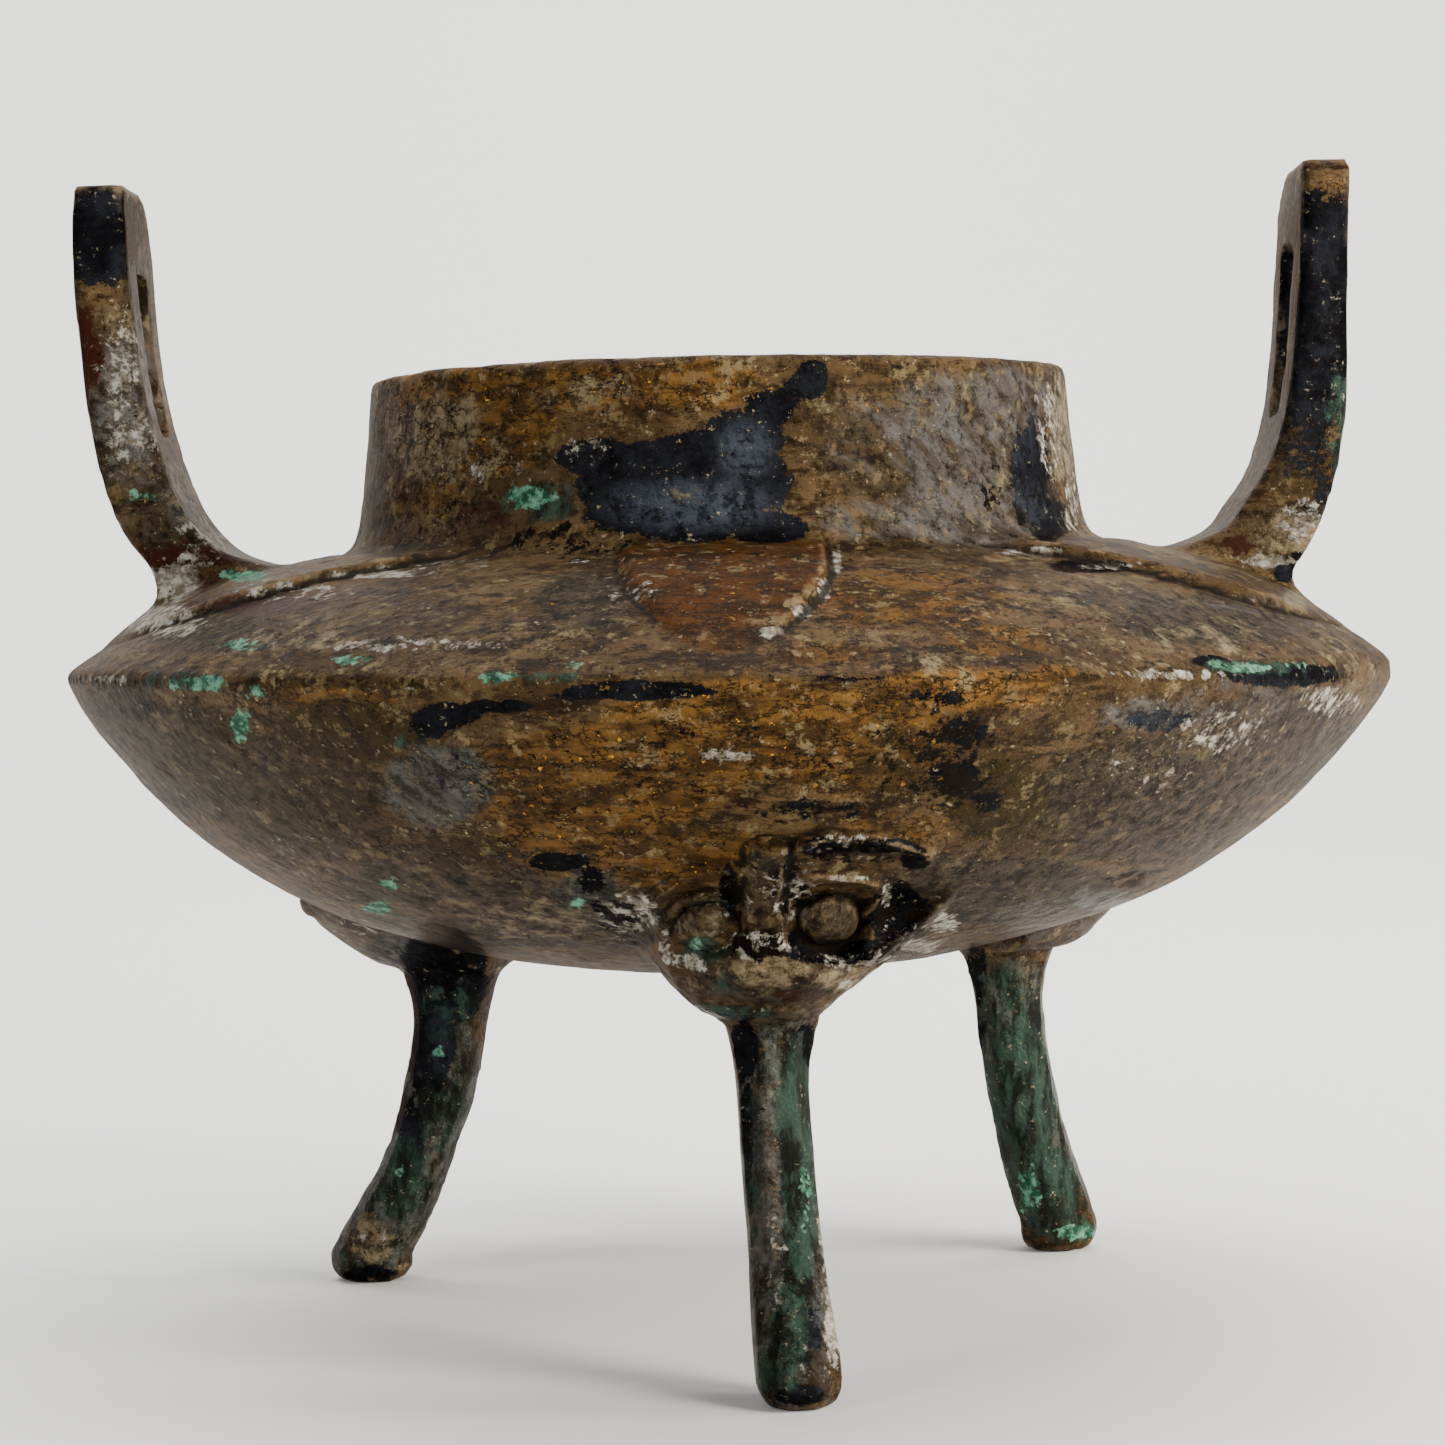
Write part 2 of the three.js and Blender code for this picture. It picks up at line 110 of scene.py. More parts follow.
# Widths of the fillets where the legs, the masks and the handles grow out of the belly.
MASK_FILLET = 1.6
LEG_FILLET = 2.2
HANDLE_FILLET = 2.4

# The grid on which the vessel is worked out: its steps, finer around the front mask, and the room
# beyond the vessel.
GRID_STEP = 1.25
FINE_STEP = 0.6
SIDE_ROOM = 1.3
GROUND_ROOM = 1.6
TOP_ROOM = 1.5
FRONT_MASK_ACROSS = (-15, 27)
FRONT_MASK_DEEP = (-88, -54)
FRONT_MASK_UP = (50, 82)

# The share of triangles that stays, which leaves fewer than 200,000, and how much of the detail
# stays inside, at the back, at the front and on the front mask.
KEPT_SHARE = 0.435
INSIDE_DETAIL, BACK_DETAIL, FRONT_DETAIL, MASK_DETAIL = 0.0, 0.55, 0.8, 1.0

# Pairs of radius share and depth share, from the middle of the underside to the belly edge.
BELLY_CURVE = [
    (0, 1), (0.2, 0.985), (0.38, 0.93), (0.562, 0.816), (0.664, 0.722), (0.749, 0.609),
    (0.829, 0.474), (0.889, 0.339), (0.942, 0.203), (0.979, 0.09)]

# Pairs of the way in from the belly edge to the neck and of the shoulder rise.
SHOULDER_CURVE = [
    (0, 0), (0.012, 0.07), (0.092, 0.2), (0.207, 0.365), (0.32, 0.5), (0.46, 0.63),
    (0.64, 0.76), (0.83, 0.865), (0.95, 0.93), (1, 1)]

# Handle blades seen from the front: height below the top, then the distances of the outer
# and the inner face from the axis.
LEFT_BLADE = [
    (0, 96.4, 88.8), (13, 96.7, 88.4), (25, 96, 87.4), (34, 95.1, 86), (42, 94, 84),
    (48, 92.4, 81.7), (52.5, 90.4, 78.8), (55.6, 88.1, 75), (58, 86.3, 69),
    (62, 85.4, 62), (65.5, 86.6, 60), (69, 91, 60)]
RIGHT_BLADE = [
    (0, 94.5, 87.6), (15, 94.3, 86.9), (26, 94, 86), (35.5, 93.7, 84.8), (42, 93, 83.2),
    (47, 91.9, 81), (51, 90.6, 78.2), (55, 88.9, 75), (58, 87.2, 68),
    (62, 84.6, 62), (66, 85.6, 60), (70, 90.5, 60)]


def smooth(edge0, edge1, value):
    t = np.clip((value - edge0) / (edge1 - edge0), 0, 1)
    return t * t * (3 - 2 * t)


def lerp(a, b, share):
    return a + (b - a) * share


def blend_union(a, b, width):
    """Union of two fields with a fillet about as wide as given."""
    h = np.clip(0.5 + 0.5 * (b - a) / width, 0, 1)
    return b + (a - b) * h - width * h * (1 - h)


def rounded_common(a, b, radius):
    """Common part of two fields whose meeting edge is rounded."""
    outside = np.hypot(np.maximum(a + radius, 0), np.maximum(b + radius, 0))
    return outside + np.minimum(np.maximum(a, b) + radius, 0) - radius


def fine_line(points, step=0.7):
    """A flowing curve through the points, cut into short pieces."""
    points = np.array(points, float)
    padded = np.vstack([2 * points[0] - points[1], points, 2 * points[-1] - points[-2]])
    line = [points[:1]]
    for i in range(len(points) - 1):
        p0, p1, p2, p3 = padded[i:i + 4]
        count = max(2, int(np.linalg.norm(p2 - p1) / step))
        t = np.linspace(0, 1, count + 1)[1:, None]
        line.append(0.5 * (2 * p1 + (p2 - p0) * t + (2 * p0 - 5 * p1 + 4 * p2 - p3) * t ** 2
                           + (3 * p1 - p0 - 3 * p2 + p3) * t ** 3))
    return np.vstack(line)


def section_line():
    """Outer section of the body as (radius, height), from the underside to the rim."""
    belly = [(BELLY_RADIUS * r, BELLY_EDGE_HEIGHT - BELLY_DEPTH * d) for r, d in BELLY_CURVE]
    shoulder = [(lerp(BELLY_RADIUS, NECK_BASE_RADIUS, w), BELLY_EDGE_HEIGHT + SHOULDER_RISE * s)
                for w, s in SHOULDER_CURVE]
    base = BELLY_EDGE_HEIGHT + SHOULDER_RISE
    neck = [shoulder[-1]]
    for share in (0.17, 0.4, 0.65, 0.97):
        inward = 1 - (1 - share) ** 1.3
        neck.append((lerp(NECK_BASE_RADIUS - 0.6, RIM_RADIUS, inward), base + NECK_HEIGHT * share))
    belly.append((BELLY_RADIUS, BELLY_EDGE_HEIGHT))
    return np.vstack([fine_line(belly), fine_line(shoulder)[1:], fine_line(neck)[1:],
                      [(RIM_RADIUS, RIM_TOP)]])


def polygon_field(outline, x, y):
    """Signed distance of points to a closed outline, negative inside."""
    best = np.full(x.shape, 1e9)
    inside = np.zeros(x.shape, bool)
    for (x0, y0), (x1, y1) in zip(outline, np.roll(outline, -1, axis=0)):
        dx, dy = x1 - x0, y1 - y0
        length = dx * dx + dy * dy
        if length < 1e-12:
            continue
        t = np.clip(((x - x0) * dx + (y - y0) * dy) / length, 0, 1)
        best = np.minimum(best, (x - x0 - t * dx) ** 2 + (y - y0 - t * dy) ** 2)
        if y0 != y1:
            crossing = (y0 > y) != (y1 > y)
            inside ^= crossing & (x < x0 + (y - y0) * dx / dy)
    return np.where(inside, -1, 1) * np.sqrt(best)


class Table:
    """A field on a plane, looked up between the points of a regular grid."""

    def __init__(self, outline, low, high, step, soften=0.0):
        self.low = low
        self.step = step
        xs = np.arange(low[0], high[0] + step, step)
        ys = np.arange(low[1], high[1] + step, step)
        values = polygon_field(outline, *np.meshgrid(xs, ys, indexing="ij"))
        reach = int(round(soften / step))
        for axis in (0, 1):
            if reach:
                kernel = np.hanning(2 * reach + 3)[1:-1]
                kernel /= kernel.sum()
                padded = np.pad(values, [(reach, reach) if a == axis else (0, 0) for a in (0, 1)],
                                mode="reflect", reflect_type="odd")
                values = np.apply_along_axis(np.convolve, axis, padded, kernel, mode="valid")
        self.values = values.astype(np.float32)

    def __call__(self, x, y):
        nx, ny = self.values.shape
        u = np.clip((x - self.low[0]) / self.step, 0, nx - 1.001)
        v = np.clip((y - self.low[1]) / self.step, 0, ny - 1.001)
        i, j = u.astype(np.int32), v.astype(np.int32)
        u, v = u - i, v - j
        k = i * ny + j
        flat = self.values.ravel()
        return ((flat[k] * (1 - v) + flat[k + 1] * v) * (1 - u)
                + (flat[k + ny] * (1 - v) + flat[k + ny + 1] * v) * u)


def cavity_line(line):
    """The section moved in by the wall and carried up past the rim."""
    along = np.gradient(line, axis=0)
    along /= np.linalg.norm(along, axis=1)[:, None]
    base = BELLY_EDGE_HEIGHT + SHOULDER_RISE
    wall = lerp(WALL, NECK_WALL, smooth(base - 4, base + 4, line[:, 1]))
    inner = line + np.stack([-along[:, 1], along[:, 0]], axis=1) * wall[:, None]
    keep = inner[:, 1] < RIM_TOP - 2
    return inner[keep]


OUTER_LINE = section_line()
TABLE_LOW, TABLE_HIGH = (-6.0, 44.0), (108.0, 156.0)
OUTER_SECTION = np.vstack([OUTER_LINE, [(-60, RIM_TOP), (-60, OUTER_LINE[0, 1])]])
INNER_LINE = cavity_line(OUTER_LINE)
MOUTH_RADIUS = RIM_RADIUS - NECK_WALL
INNER_SECTION = np.vstack([
    INNER_LINE, [(MOUTH_RADIUS, RIM_TOP - 1), (MOUTH_RADIUS, RIM_TOP + 30), (-60, RIM_TOP + 30),
                 (-60, INNER_LINE[0, 1])]])
outer_table = Table(OUTER_SECTION, TABLE_LOW, TABLE_HIGH, 0.4, soften=1.2)
inner_table = Table(INNER_SECTION, TABLE_LOW, TABLE_HIGH, 0.4, soften=0.8)


def upright(x, y, z):
    """Takes the lean of the belly edge and the shift of the neck out of a place."""
    level = z
    for _ in range(2):
        up = level - BELLY_EDGE_HEIGHT
        share = np.maximum(0, 1 - np.abs(up) / np.where(up > 0, SHOULDER_RISE, BELLY_DEPTH))
        rise = up / SHOULDER_RISE
        swell = RIGHT_EDGE_SWELL * smooth(0, 0.1, rise) * smooth(0.5, 0.2, rise)
        swell = swell * smooth(0.6, 0.95, x / BELLY_RADIUS)
        level = z - (x * EDGE_SLOPE_X + y * EDGE_SLOPE_Y) * share - swell
    return x - NECK_OFFSET_X * smooth(0, SHOULDER_RISE, level - BELLY_EDGE_HEIGHT), level


def leaf_half_width(along, half_width, tip):
    bend = 0.7 * tip
    share = np.arcsin(np.clip((along - bend) / (tip - bend), 0, 1)) / (math.pi / 2)
    drawn_in = np.maximum(0, np.cos(share * math.pi / 2)) ** 1.15
    return half_width * drawn_in - np.maximum(0, along - tip)


def leaf_height(x, y, radius):
    """How far the raised leaf plates stand above the shoulder at a place."""
    side = leaf_half_width(np.abs(x), SIDE_LEAF_HALF_WIDTH, SIDE_LEAF_TIP) - np.abs(y)
    side = side * smooth(20, 40, np.abs(x))
    front = leaf_half_width(np.abs(y), FRONT_LEAF_HALF_WIDTH, FRONT_LEAF_TIP) - np.abs(x)
    front = front * smooth(20, 40, np.abs(y))
    side_height = smooth(-0.1, 1.0, side) * smooth(SIDE_LEAF_TIP + 2, SIDE_LEAF_TIP - 12, radius)
    left_slope = 0.9 + 1.4 * smooth(2, -4, x)
    front_height = smooth(-0.1, left_slope, front)
    front_height = front_height * smooth(FRONT_LEAF_TIP + 2, FRONT_LEAF_TIP - 12, radius)
    inner = 0.3 + 0.7 * smooth(NECK_BASE_RADIUS - 1, NECK_BASE_RADIUS + 6, radius)
    return LEAF_STEP * np.maximum(side_height, 0.85 * front_height) * inner


def body_field(x, y, z):
    straight_x, level = upright(x, y, z)
    radius = np.hypot(straight_x, y)
    field = outer_table(radius, level)
    above = smooth(BELLY_EDGE_HEIGHT + 0.5, BELLY_EDGE_HEIGHT + 3.5, level)
    above = above * smooth(NECK_BASE_RADIUS - 1.0, NECK_BASE_RADIUS + 1.0, radius)
    return field - leaf_height(straight_x, y, radius) * above


def cavity_field(x, y, z):
    straight_x, level = upright(x, y, z)
    return inner_table(np.hypot(straight_x, y), level)


def handle_tables(blade, top):
    rows = np.array(blade, float)
    outer = fine_line(np.stack([rows[:, 1], top - rows[:, 0]], axis=1), 1.5)
    inner = fine_line(np.stack([rows[:, 2], top - rows[:, 0]], axis=1), 1.5)
    return Table(np.vstack([outer, inner[::-1]]), (48.0, 88.0), (106.0, 182.0), 0.4)


def corner_arc(centre, radius, start, end):
    turn = np.radians(np.linspace(start, end, 9))
    return np.stack([centre[0] + radius * np.cos(turn), centre[1] + radius * np.sin(turn)], axis=1)


def handle_outline_table(top):
    half = HANDLE_WIDTH / 2
    spread = half + HANDLE_ROOT_SPREAD
    back = corner_arc((half - HANDLE_BACK_CORNER, top - HANDLE_BACK_CORNER), HANDLE_BACK_CORNER, 0, 90)
    front = corner_arc((-half + HANDLE_FRONT_CORNER, top - HANDLE_FRONT_CORNER),
                       HANDLE_FRONT_CORNER, 90, 180)
    outline = np.vstack([
        [(-spread, BELLY_EDGE_HEIGHT - 2), (spread, BELLY_EDGE_HEIGHT - 2),
         (half + 1, top - 57), (half, top - 48)],
        back, front, [(-half, top - 48), (-half - 1, top - 57)]])
    return Table(outline, (-22.0, 88.0), (22.0, 182.0), 0.4)


HANDLES = [
    (-1, LEFT_HANDLE_TOP, handle_tables(LEFT_BLADE, LEFT_HANDLE_TOP),
     handle_outline_table(LEFT_HANDLE_TOP)),
    (1, RIGHT_HANDLE_TOP, handle_tables(RIGHT_BLADE, RIGHT_HANDLE_TOP),
     handle_outline_table(RIGHT_HANDLE_TOP))]


def handle_field(x, y, z, handle):
    side, top, blade, outline = handle
    field = rounded_common(blade(side * x, z), outline(y, z), HANDLE_ROUNDING)
    middle = top - SLOT_BELOW_TOP - SLOT_HEIGHT / 2
    corner = SLOT_CORNER
    dy = np.abs(y) - SLOT_WIDTH / 2 + corner
    dz = np.abs(z - middle) - SLOT_HEIGHT / 2 + corner
    slot = np.hypot(np.maximum(dy, 0), np.maximum(dz, 0)) + np.minimum(np.maximum(dy, dz), 0)
    slot = slot - corner
    return rounded_common(field, -slot, SLOT_ROUNDING)


def leg_radius(leg, z):
    """Distance of the middle of a leg from the axis; it swings outwards near the foot."""
    up = np.maximum(z, 1.3 * FOOT_ROUNDING) / LEG_TOP
    swing = np.maximum(0, 1 - 1.2 * up) ** 1.9
    return leg["top_radius"] + (FOOT_CIRCLE_RADIUS - leg["top_radius"]) * 1.19 * swing


def leg_frame(leg, x, y, z):
    """Distances of a place from the middle of a leg: sideways and outward."""
    bearing = np.radians(lerp(leg["foot"], leg["top"], smooth(0, 0.83, z / LEG_TOP)))
    sideways = x * np.cos(bearing) + y * np.sin(bearing)
    outward = x * np.sin(bearing) - y * np.cos(bearing) - leg_radius(leg, z)
    return sideways, outward


def leg_field(x, y, z, leg):
    sideways, outward = leg_frame(leg, x, y, z)
    swell = FOOT_SWELL * smooth(0.4, 0.1, z / LEG_TOP)
    root = 2.6 * smooth(LEG_TOP - 18, LEG_TOP, z) ** 1.3
    low = np.clip(z / FOOT_ROUNDING, 0, 1)
    end = 0.62 + 0.38 * np.sqrt(1 - (1 - low) ** 2)
    half_width = (LEG_HALF_WIDTH + swell + root) * end
    half_depth = (LEG_HALF_DEPTH + 1.25 * swell + 1.3 * root) * end
    u, v = np.abs(sideways) / half_width, np.abs(outward) / half_depth
    section = (u ** LEG_SQUARENESS + v ** LEG_SQUARENESS) ** (1 / LEG_SQUARENESS) - 1
    facet = (u + v) / 1.44 - 1
    field = np.maximum(section, facet) * np.minimum(half_width, half_depth) * 0.92
    return np.maximum(field, -z)


def ridge(a, h, points, half_width):
    """A share of one along a line over the face of a mask, falling to nothing beside it."""
    best = np.full(np.broadcast(a, h).shape, 1e9)
    for (a0, h0), (a1, h1) in zip(points, points[1:]):
        da, dh = a1 - a0, h1 - h0
        t = np.clip(((a - a0) * da + (h - h0) * dh) / (da * da + dh * dh), 0, 1)
        best = np.minimum(best, np.hypot(a - a0 - t * da, h - h0 - t * dh))
    return 1 - smooth(0, half_width, best)


def bump(a, h, centre, radii):
    """A round knob, one in its middle and nothing outside its radii."""
    reach = ((a - centre[0]) / radii[0]) ** 2 + ((h - centre[1]) / radii[1]) ** 2
    return np.sqrt(np.maximum(0, 1 - reach))


def hill(a, h, centre, radii):
    """A soft rise, one in its middle, that fades away beyond its radii."""
    return np.exp(-((a - centre[0]) / radii[0]) ** 2 - ((h - centre[1]) / radii[1]) ** 2)


RIGHT_EYE, LEFT_EYE = (8.0, 66.2), (-8.5, 65.6)
RIGHT_BROW = [(2.5, 76.6), (6, 77.7), (11.5, 77.4), (16, 76.6), (20.3, 75.0)]
LEFT_BROW = [(-4.5, 73.2), (-8, 73.6), (-12, 72.2), (-15.5, 69.5)]
RIGHT_LID = [(4.0, 72.6), (9, 72.3), (14.0, 71.0), (15.0, 69.4), (13.0, 66.5)]
LEFT_LID = [(-4.6, 68.6), (-8, 70.2), (-12, 69.2), (-13.6, 66.4)]
CHEEK_LINE = [(13.5, 60.5), (18.0, 63.0), (22.5, 66.0), (25.0, 68.6)]
LEFT_CHEEK_LINE = [(-12.6, 58.5), (-14.8, 62.0), (-14.6, 66.0)]


MUZZLE_PARTING = [(0.2, 56.5), (0.2, 62.0)]
MOUTH = [(-8, 55.6), (-3, 54.6), (2, 54.6)]
EYE_SOCKET_RADII = (6.8, 4.2)
EYEBALL_RADII = (4.2, 3.5)
NOSE_MIDDLE = -1.0

# Forms of the animal face, in distance sideways and height: how far each stands out, then its line
# and half width, or its middle and its radii.
FACE_RIDGES = [
    (1.5, RIGHT_BROW, 1.9), (0.9, RIGHT_LID, 1.0), (1.2, LEFT_BROW, 1.9), (0.9, LEFT_LID, 1.1),
    (1.1, CHEEK_LINE, 1.6), (0.8, LEFT_CHEEK_LINE, 1.5), (-0.35, MUZZLE_PARTING, 1.8),
    (-0.6, MOUTH, 1.8)]
FACE_HILLS = [
    (-0.9, (-4.8, 70.5), (1.1, 4.0)),  # groove beside the nose
    (-1.6, (15.5, 66.5), (3.6, 3.6)),  # hollow beside the right eye
    (1.7, (-3.6, 58.8), (3.9, 3.4)),  # left half of the muzzle
    (1.9, (4.2, 59.0), (4.3, 3.6)),  # right half of the muzzle
    (0.8, (0.2, 63.0), (2.8, 2.2))]  # top of the muzzle


def mask_relief(a, h):
    """Height of the animal face above its block, by distance sideways and by height."""
    nose = smooth(3.1, 1.7, np.abs(a - NOSE_MIDDLE)) * smooth(64.5, 68, h) * smooth(78.6, 76.4, h)
    relief = 1.5 * nose + 0.9 * bump(a, h, (NOSE_MIDDLE, 76.4), (2.7, 2.4))
    for eye, deep in ((RIGHT_EYE, 2.8), (LEFT_EYE, 0.9)):
        away = np.hypot(a - eye[0], h - eye[1])
        below = 0.6 * (a - eye[0]) - 0.8 * (h - eye[1])
        relief -= deep * smooth(*EYE_SOCKET_RADII, away) * (0.3 + 0.7 * smooth(-4, 3.5, below))
        relief += (0.8 * deep + 0.7) * bump(a, h, eye, EYEBALL_RADII)
    for height, line, half_width in FACE_RIDGES:
        relief += height * ridge(a, h, line, half_width)
    for height, middle, radii in FACE_HILLS:
        relief += height * hill(a, h, middle, radii)
    return relief


def mask_field(a, o, h, leg):
    """The corbel below the belly that carries the animal face."""
    up = np.clip((h - MASK_CHIN_HEIGHT) / (MASK_TOP_HEIGHT - MASK_CHIN_HEIGHT), 0, 1.05)
    low = np.minimum(1, up / 0.5)
    half_width = MASK_HALF_WIDTH * (0.33 + 0.67 * low ** 0.62) * (1 - 0.5 * smooth(0.6, 1, up))
    front = 61 + 13.5 * np.minimum(1, up / 0.55) ** 0.6 + 9 * smooth(0.5, 1.05, up) ** 1.3
    rear = leg["top_radius"] - 2
    depth = np.maximum(front - rear, 1)
    wider = 1 + 0.27 * smooth(53, 62, h) * (a > 0)
    u = np.abs(a) / (half_width * wider)
    v = np.maximum(0, (o - rear) / depth)
    section = (u ** MASK_SQUARENESS + v ** MASK_SQUARENESS) ** (1 / MASK_SQUARENESS) - 1
    field = section * np.minimum(half_width, depth) * 0.75
    return np.maximum(np.maximum(field, MASK_CHIN_HEIGHT - h), rear - 6 - o)


def outward_frame(bearing, x, y):
    turn = math.radians(bearing)
    return x * math.cos(turn) + y * math.sin(turn), x * math.sin(turn) - y * math.cos(turn)


LEG_BOXES = [
    (FRONT_LEG, (-24, -92, -2), (36, -38, 86)),
    (LEFT_LEG, (-88, 2, -2), (-34, 58, 86)),
    (RIGHT_LEG, (34, 8, -2), (88, 66, 86))]
HANDLE_BOXES = [(HANDLES[0], (-101, -18, 92), (-55, 18, 176)),
                (HANDLES[1], (55, -18, 92), (101, 18, 176))]


def with_leg(field, x, y, z, leg):
    a, o = outward_frame(leg["mask"], x, y)
    field = blend_union(field, mask_field(a, o, z, leg), MASK_FILLET)
    window = smooth(27, 23, np.abs(a)) * smooth(50.5, 53.5, z) * smooth(83, 80, z)
    window = window * smooth(46, 54, o)
    field = field - mask_relief(a, z) * window * MASK_RELIEF_SHARE
    return blend_union(field, leg_field(x, y, z, leg), LEG_FILLET)


def with_handle(field, x, y, z, handle):
    return blend_union(field, handle_field(x, y, z, handle), HANDLE_FILLET)


def vessel_field(x, y, z):
    """The whole casting at scattered places: negative inside the bronze."""
    field = body_field(x, y, z)
    for shape, boxes in ((with_leg, LEG_BOXES), (with_handle, HANDLE_BOXES)):
        for detail, low, high in boxes:
            near = np.flatnonzero((x > low[0]) & (x < high[0]) & (y > low[1]) & (y < high[1])
                                  & (z > low[2]) & (z < high[2]))
            field[near] = shape(field[near], x[near], y[near], z[near], detail)
    return np.maximum(field, -cavity_field(x, y, z))


def grid_line(low, high, fine_span):
    """Places along an axis, closer together within the fine span."""
    places = [low]
    while places[-1] < high:
        fine = fine_span[0] <= places[-1] <= fine_span[1]
        places.append(places[-1] + (FINE_STEP if fine else GRID_STEP))
    return np.array(places, np.float32)


def grid_field(xs, ys, zs):
    """The field of the casting at all corners of a grid, worked out slab by slab."""
    values = np.empty((len(xs), len(ys), len(zs)), np.float32)
    for i in range(0, len(xs), 24):
        x, y, z = np.meshgrid(xs[i:i + 24], ys, zs, indexing="ij")
        shape = x.shape
        values[i:i + 24] = vessel_field(x.ravel(), y.ravel(), z.ravel()).reshape(shape)
    return values


def surface_nets(values, xs, ys, zs):
    """Vertices and quads of the zero surface: one vertex in each cell that it crosses."""
    inside = values < 0
    cells = tuple(n - 1 for n in values.shape)
    total = np.zeros(cells, np.float32)
    sums = [np.zeros(cells, np.float32) for _ in range(3)]
    axes = (xs, ys, zs)
    for axis in range(3):
        others = [k for k in range(3) if k != axis]
        low = [slice(None)] * 3
        high = [slice(None)] * 3
        low[axis], high[axis] = slice(None, -1), slice(1, None)
        a, b = values[tuple(low)], values[tuple(high)]
        cross = inside[tuple(low)] != inside[tuple(high)]
        share = np.where(cross, a / np.where(cross, a - b, 1), 0)
        place = [None] * 3
        for k in range(3):
            view = [1, 1, 1]
            view[k] = -1
            if k == axis:
                start = axes[k][:-1].reshape(view)
                gap = np.diff(axes[k]).reshape(view)
                place[k] = start + share * gap
            else:
                place[k] = np.broadcast_to(axes[k].reshape(view), cross.shape)
        for first in (0, 1):
            for second in (0, 1):
                cut = [slice(None)] * 3
                cut[others[0]] = slice(first, first + cells[others[0]])
                cut[others[1]] = slice(second, second + cells[others[1]])
                cut = tuple(cut)
                hit = cross[cut]
                total += hit
                for k in range(3):
                    sums[k] += np.where(hit, place[k][cut], 0)
    used = total > 0
    number = np.full(cells, -1, np.int32)
    number[used] = np.arange(int(used.sum()))
    vertices = np.stack([s[used] / total[used] for s in sums], axis=1)
    quads = []
    for axis in range(3):
        others = [(axis + 1) % 3, (axis + 2) % 3]
        low = [slice(None)] * 3
        high = [slice(None)] * 3
        low[axis], high[axis] = slice(None, -1), slice(1, None)
        for k in others:
            low[k] = high[k] = slice(1, -1)
        start, end = inside[tuple(low)], inside[tuple(high)]
        i = np.argwhere(start != end)
        leaving = start[tuple(i.T)]
        i[:, others] += 1
        ring = []
        for first, second in ((1, 1), (0, 1), (0, 0), (1, 0)):
            j = i.copy()
            j[:, others[0]] -= first
            j[:, others[1]] -= second
            ring.append(number[tuple(j.T)])
        ring = np.stack(ring, axis=1)
        quads.append(np.where(leaving[:, None], ring, ring[:, ::-1]))
    return vertices, np.vstack(quads)


def field_slope(p, reach=0.25):
    slope = np.empty_like(p)
    for k in range(3):
        step = np.zeros(3)
        step[k] = reach
        slope[:, k] = vessel_field(*(p + step).T) - vessel_field(*(p - step).T)
    return slope / (2 * reach)


def settle(p, rounds=3):
    """Moves vertices onto the surface of the field."""
    for _ in range(rounds):
        slope = field_slope(p)
        steep = np.maximum((slope ** 2).sum(1), 0.05)
        step = vessel_field(*p.T) / steep
        p = p - np.clip(step, -0.6, 0.6)[:, None] * slope
    return p


def lattice_noise(p, size, seed):
    """Smooth noise between -1 and 1 whose features are about as large as the given size."""
    rng = np.random.default_rng(seed)
    count = 32
    lattice = rng.uniform(-1, 1, count ** 3).astype(np.float32)
    q = p / size + rng.uniform(0, count, 3)
    cell = np.floor(q).astype(int)
    t = q - cell
    t = t * t * (3 - 2 * t)
    total = np.zeros(len(p))
    for dx in (0, 1):
        for dy in (0, 1):
            for dz in (0, 1):
                weight = (np.abs(1 - dx - t[:, 0]) * np.abs(1 - dy - t[:, 1])
                          * np.abs(1 - dz - t[:, 2]))
                index = (cell + (dx, dy, dz)) % count
                total += weight * lattice[(index[:, 0] * count + index[:, 1]) * count + index[:, 2]]
    return total


# Unevenness of the cast skin in mm: how deep, how large its features are, and the noise's seed.
DENTS = [(0.20, 17, 1), (0.10, 6, 2), (0.07, 2.6, 3)]


def corroded(p):
    """Dents, blisters and shallow corrosion on the outside of the casting."""
    slope = field_slope(p)
    normal = slope / np.linalg.norm(slope, axis=1)[:, None]
    height = sum(depth * lattice_noise(p, size, seed) for depth, size, seed in DENTS)
    rough = smooth(0.1, 0.8, lattice_noise(p, 12, 4))
    height += 0.10 * rough * lattice_noise(p, 1.7, 5)
    eaten = smooth(0.45, 0.8, lattice_noise(p, 3.3, 6)) * smooth(0, 0.5, lattice_noise(p, 21, 7))
    height -= 0.18 * eaten
    quiet = 0.5 + 0.5 * smooth(2, 0.5, cavity_field(*p.T))
    front_face = smooth(-50, -60, p[:, 1]) * smooth(48, 54, p[:, 2]) * smooth(84, 76, p[:, 2])
    front_face = front_face * smooth(26, 18, np.abs(p[:, 0] - 5))
    height += front_face * (0.22 * lattice_noise(p, 2.1, 8) + 0.16 * np.abs(lattice_noise(p, 1.3, 9)))
    # the feet keep their flat undersides
    standing = smooth(0.3, 3, p[:, 2])
    return p + normal * (height * (1 - 0.5 * quiet * (cavity_field(*p.T) < 1)) * standing)[:, None]


def mesh_object(name, vertices, faces):
    mesh = bpy.data.meshes.new(name)
    mesh.from_pydata(vertices, [], faces)
    mesh.update()
    made = bpy.data.objects.new(name, mesh)
    bpy.context.scene.collection.objects.link(made)
    return made


def vertex_places(made):
    co = np.empty(len(made.data.vertices) * 3)
    made.data.vertices.foreach_get("co", co)
    return co.reshape(-1, 3)


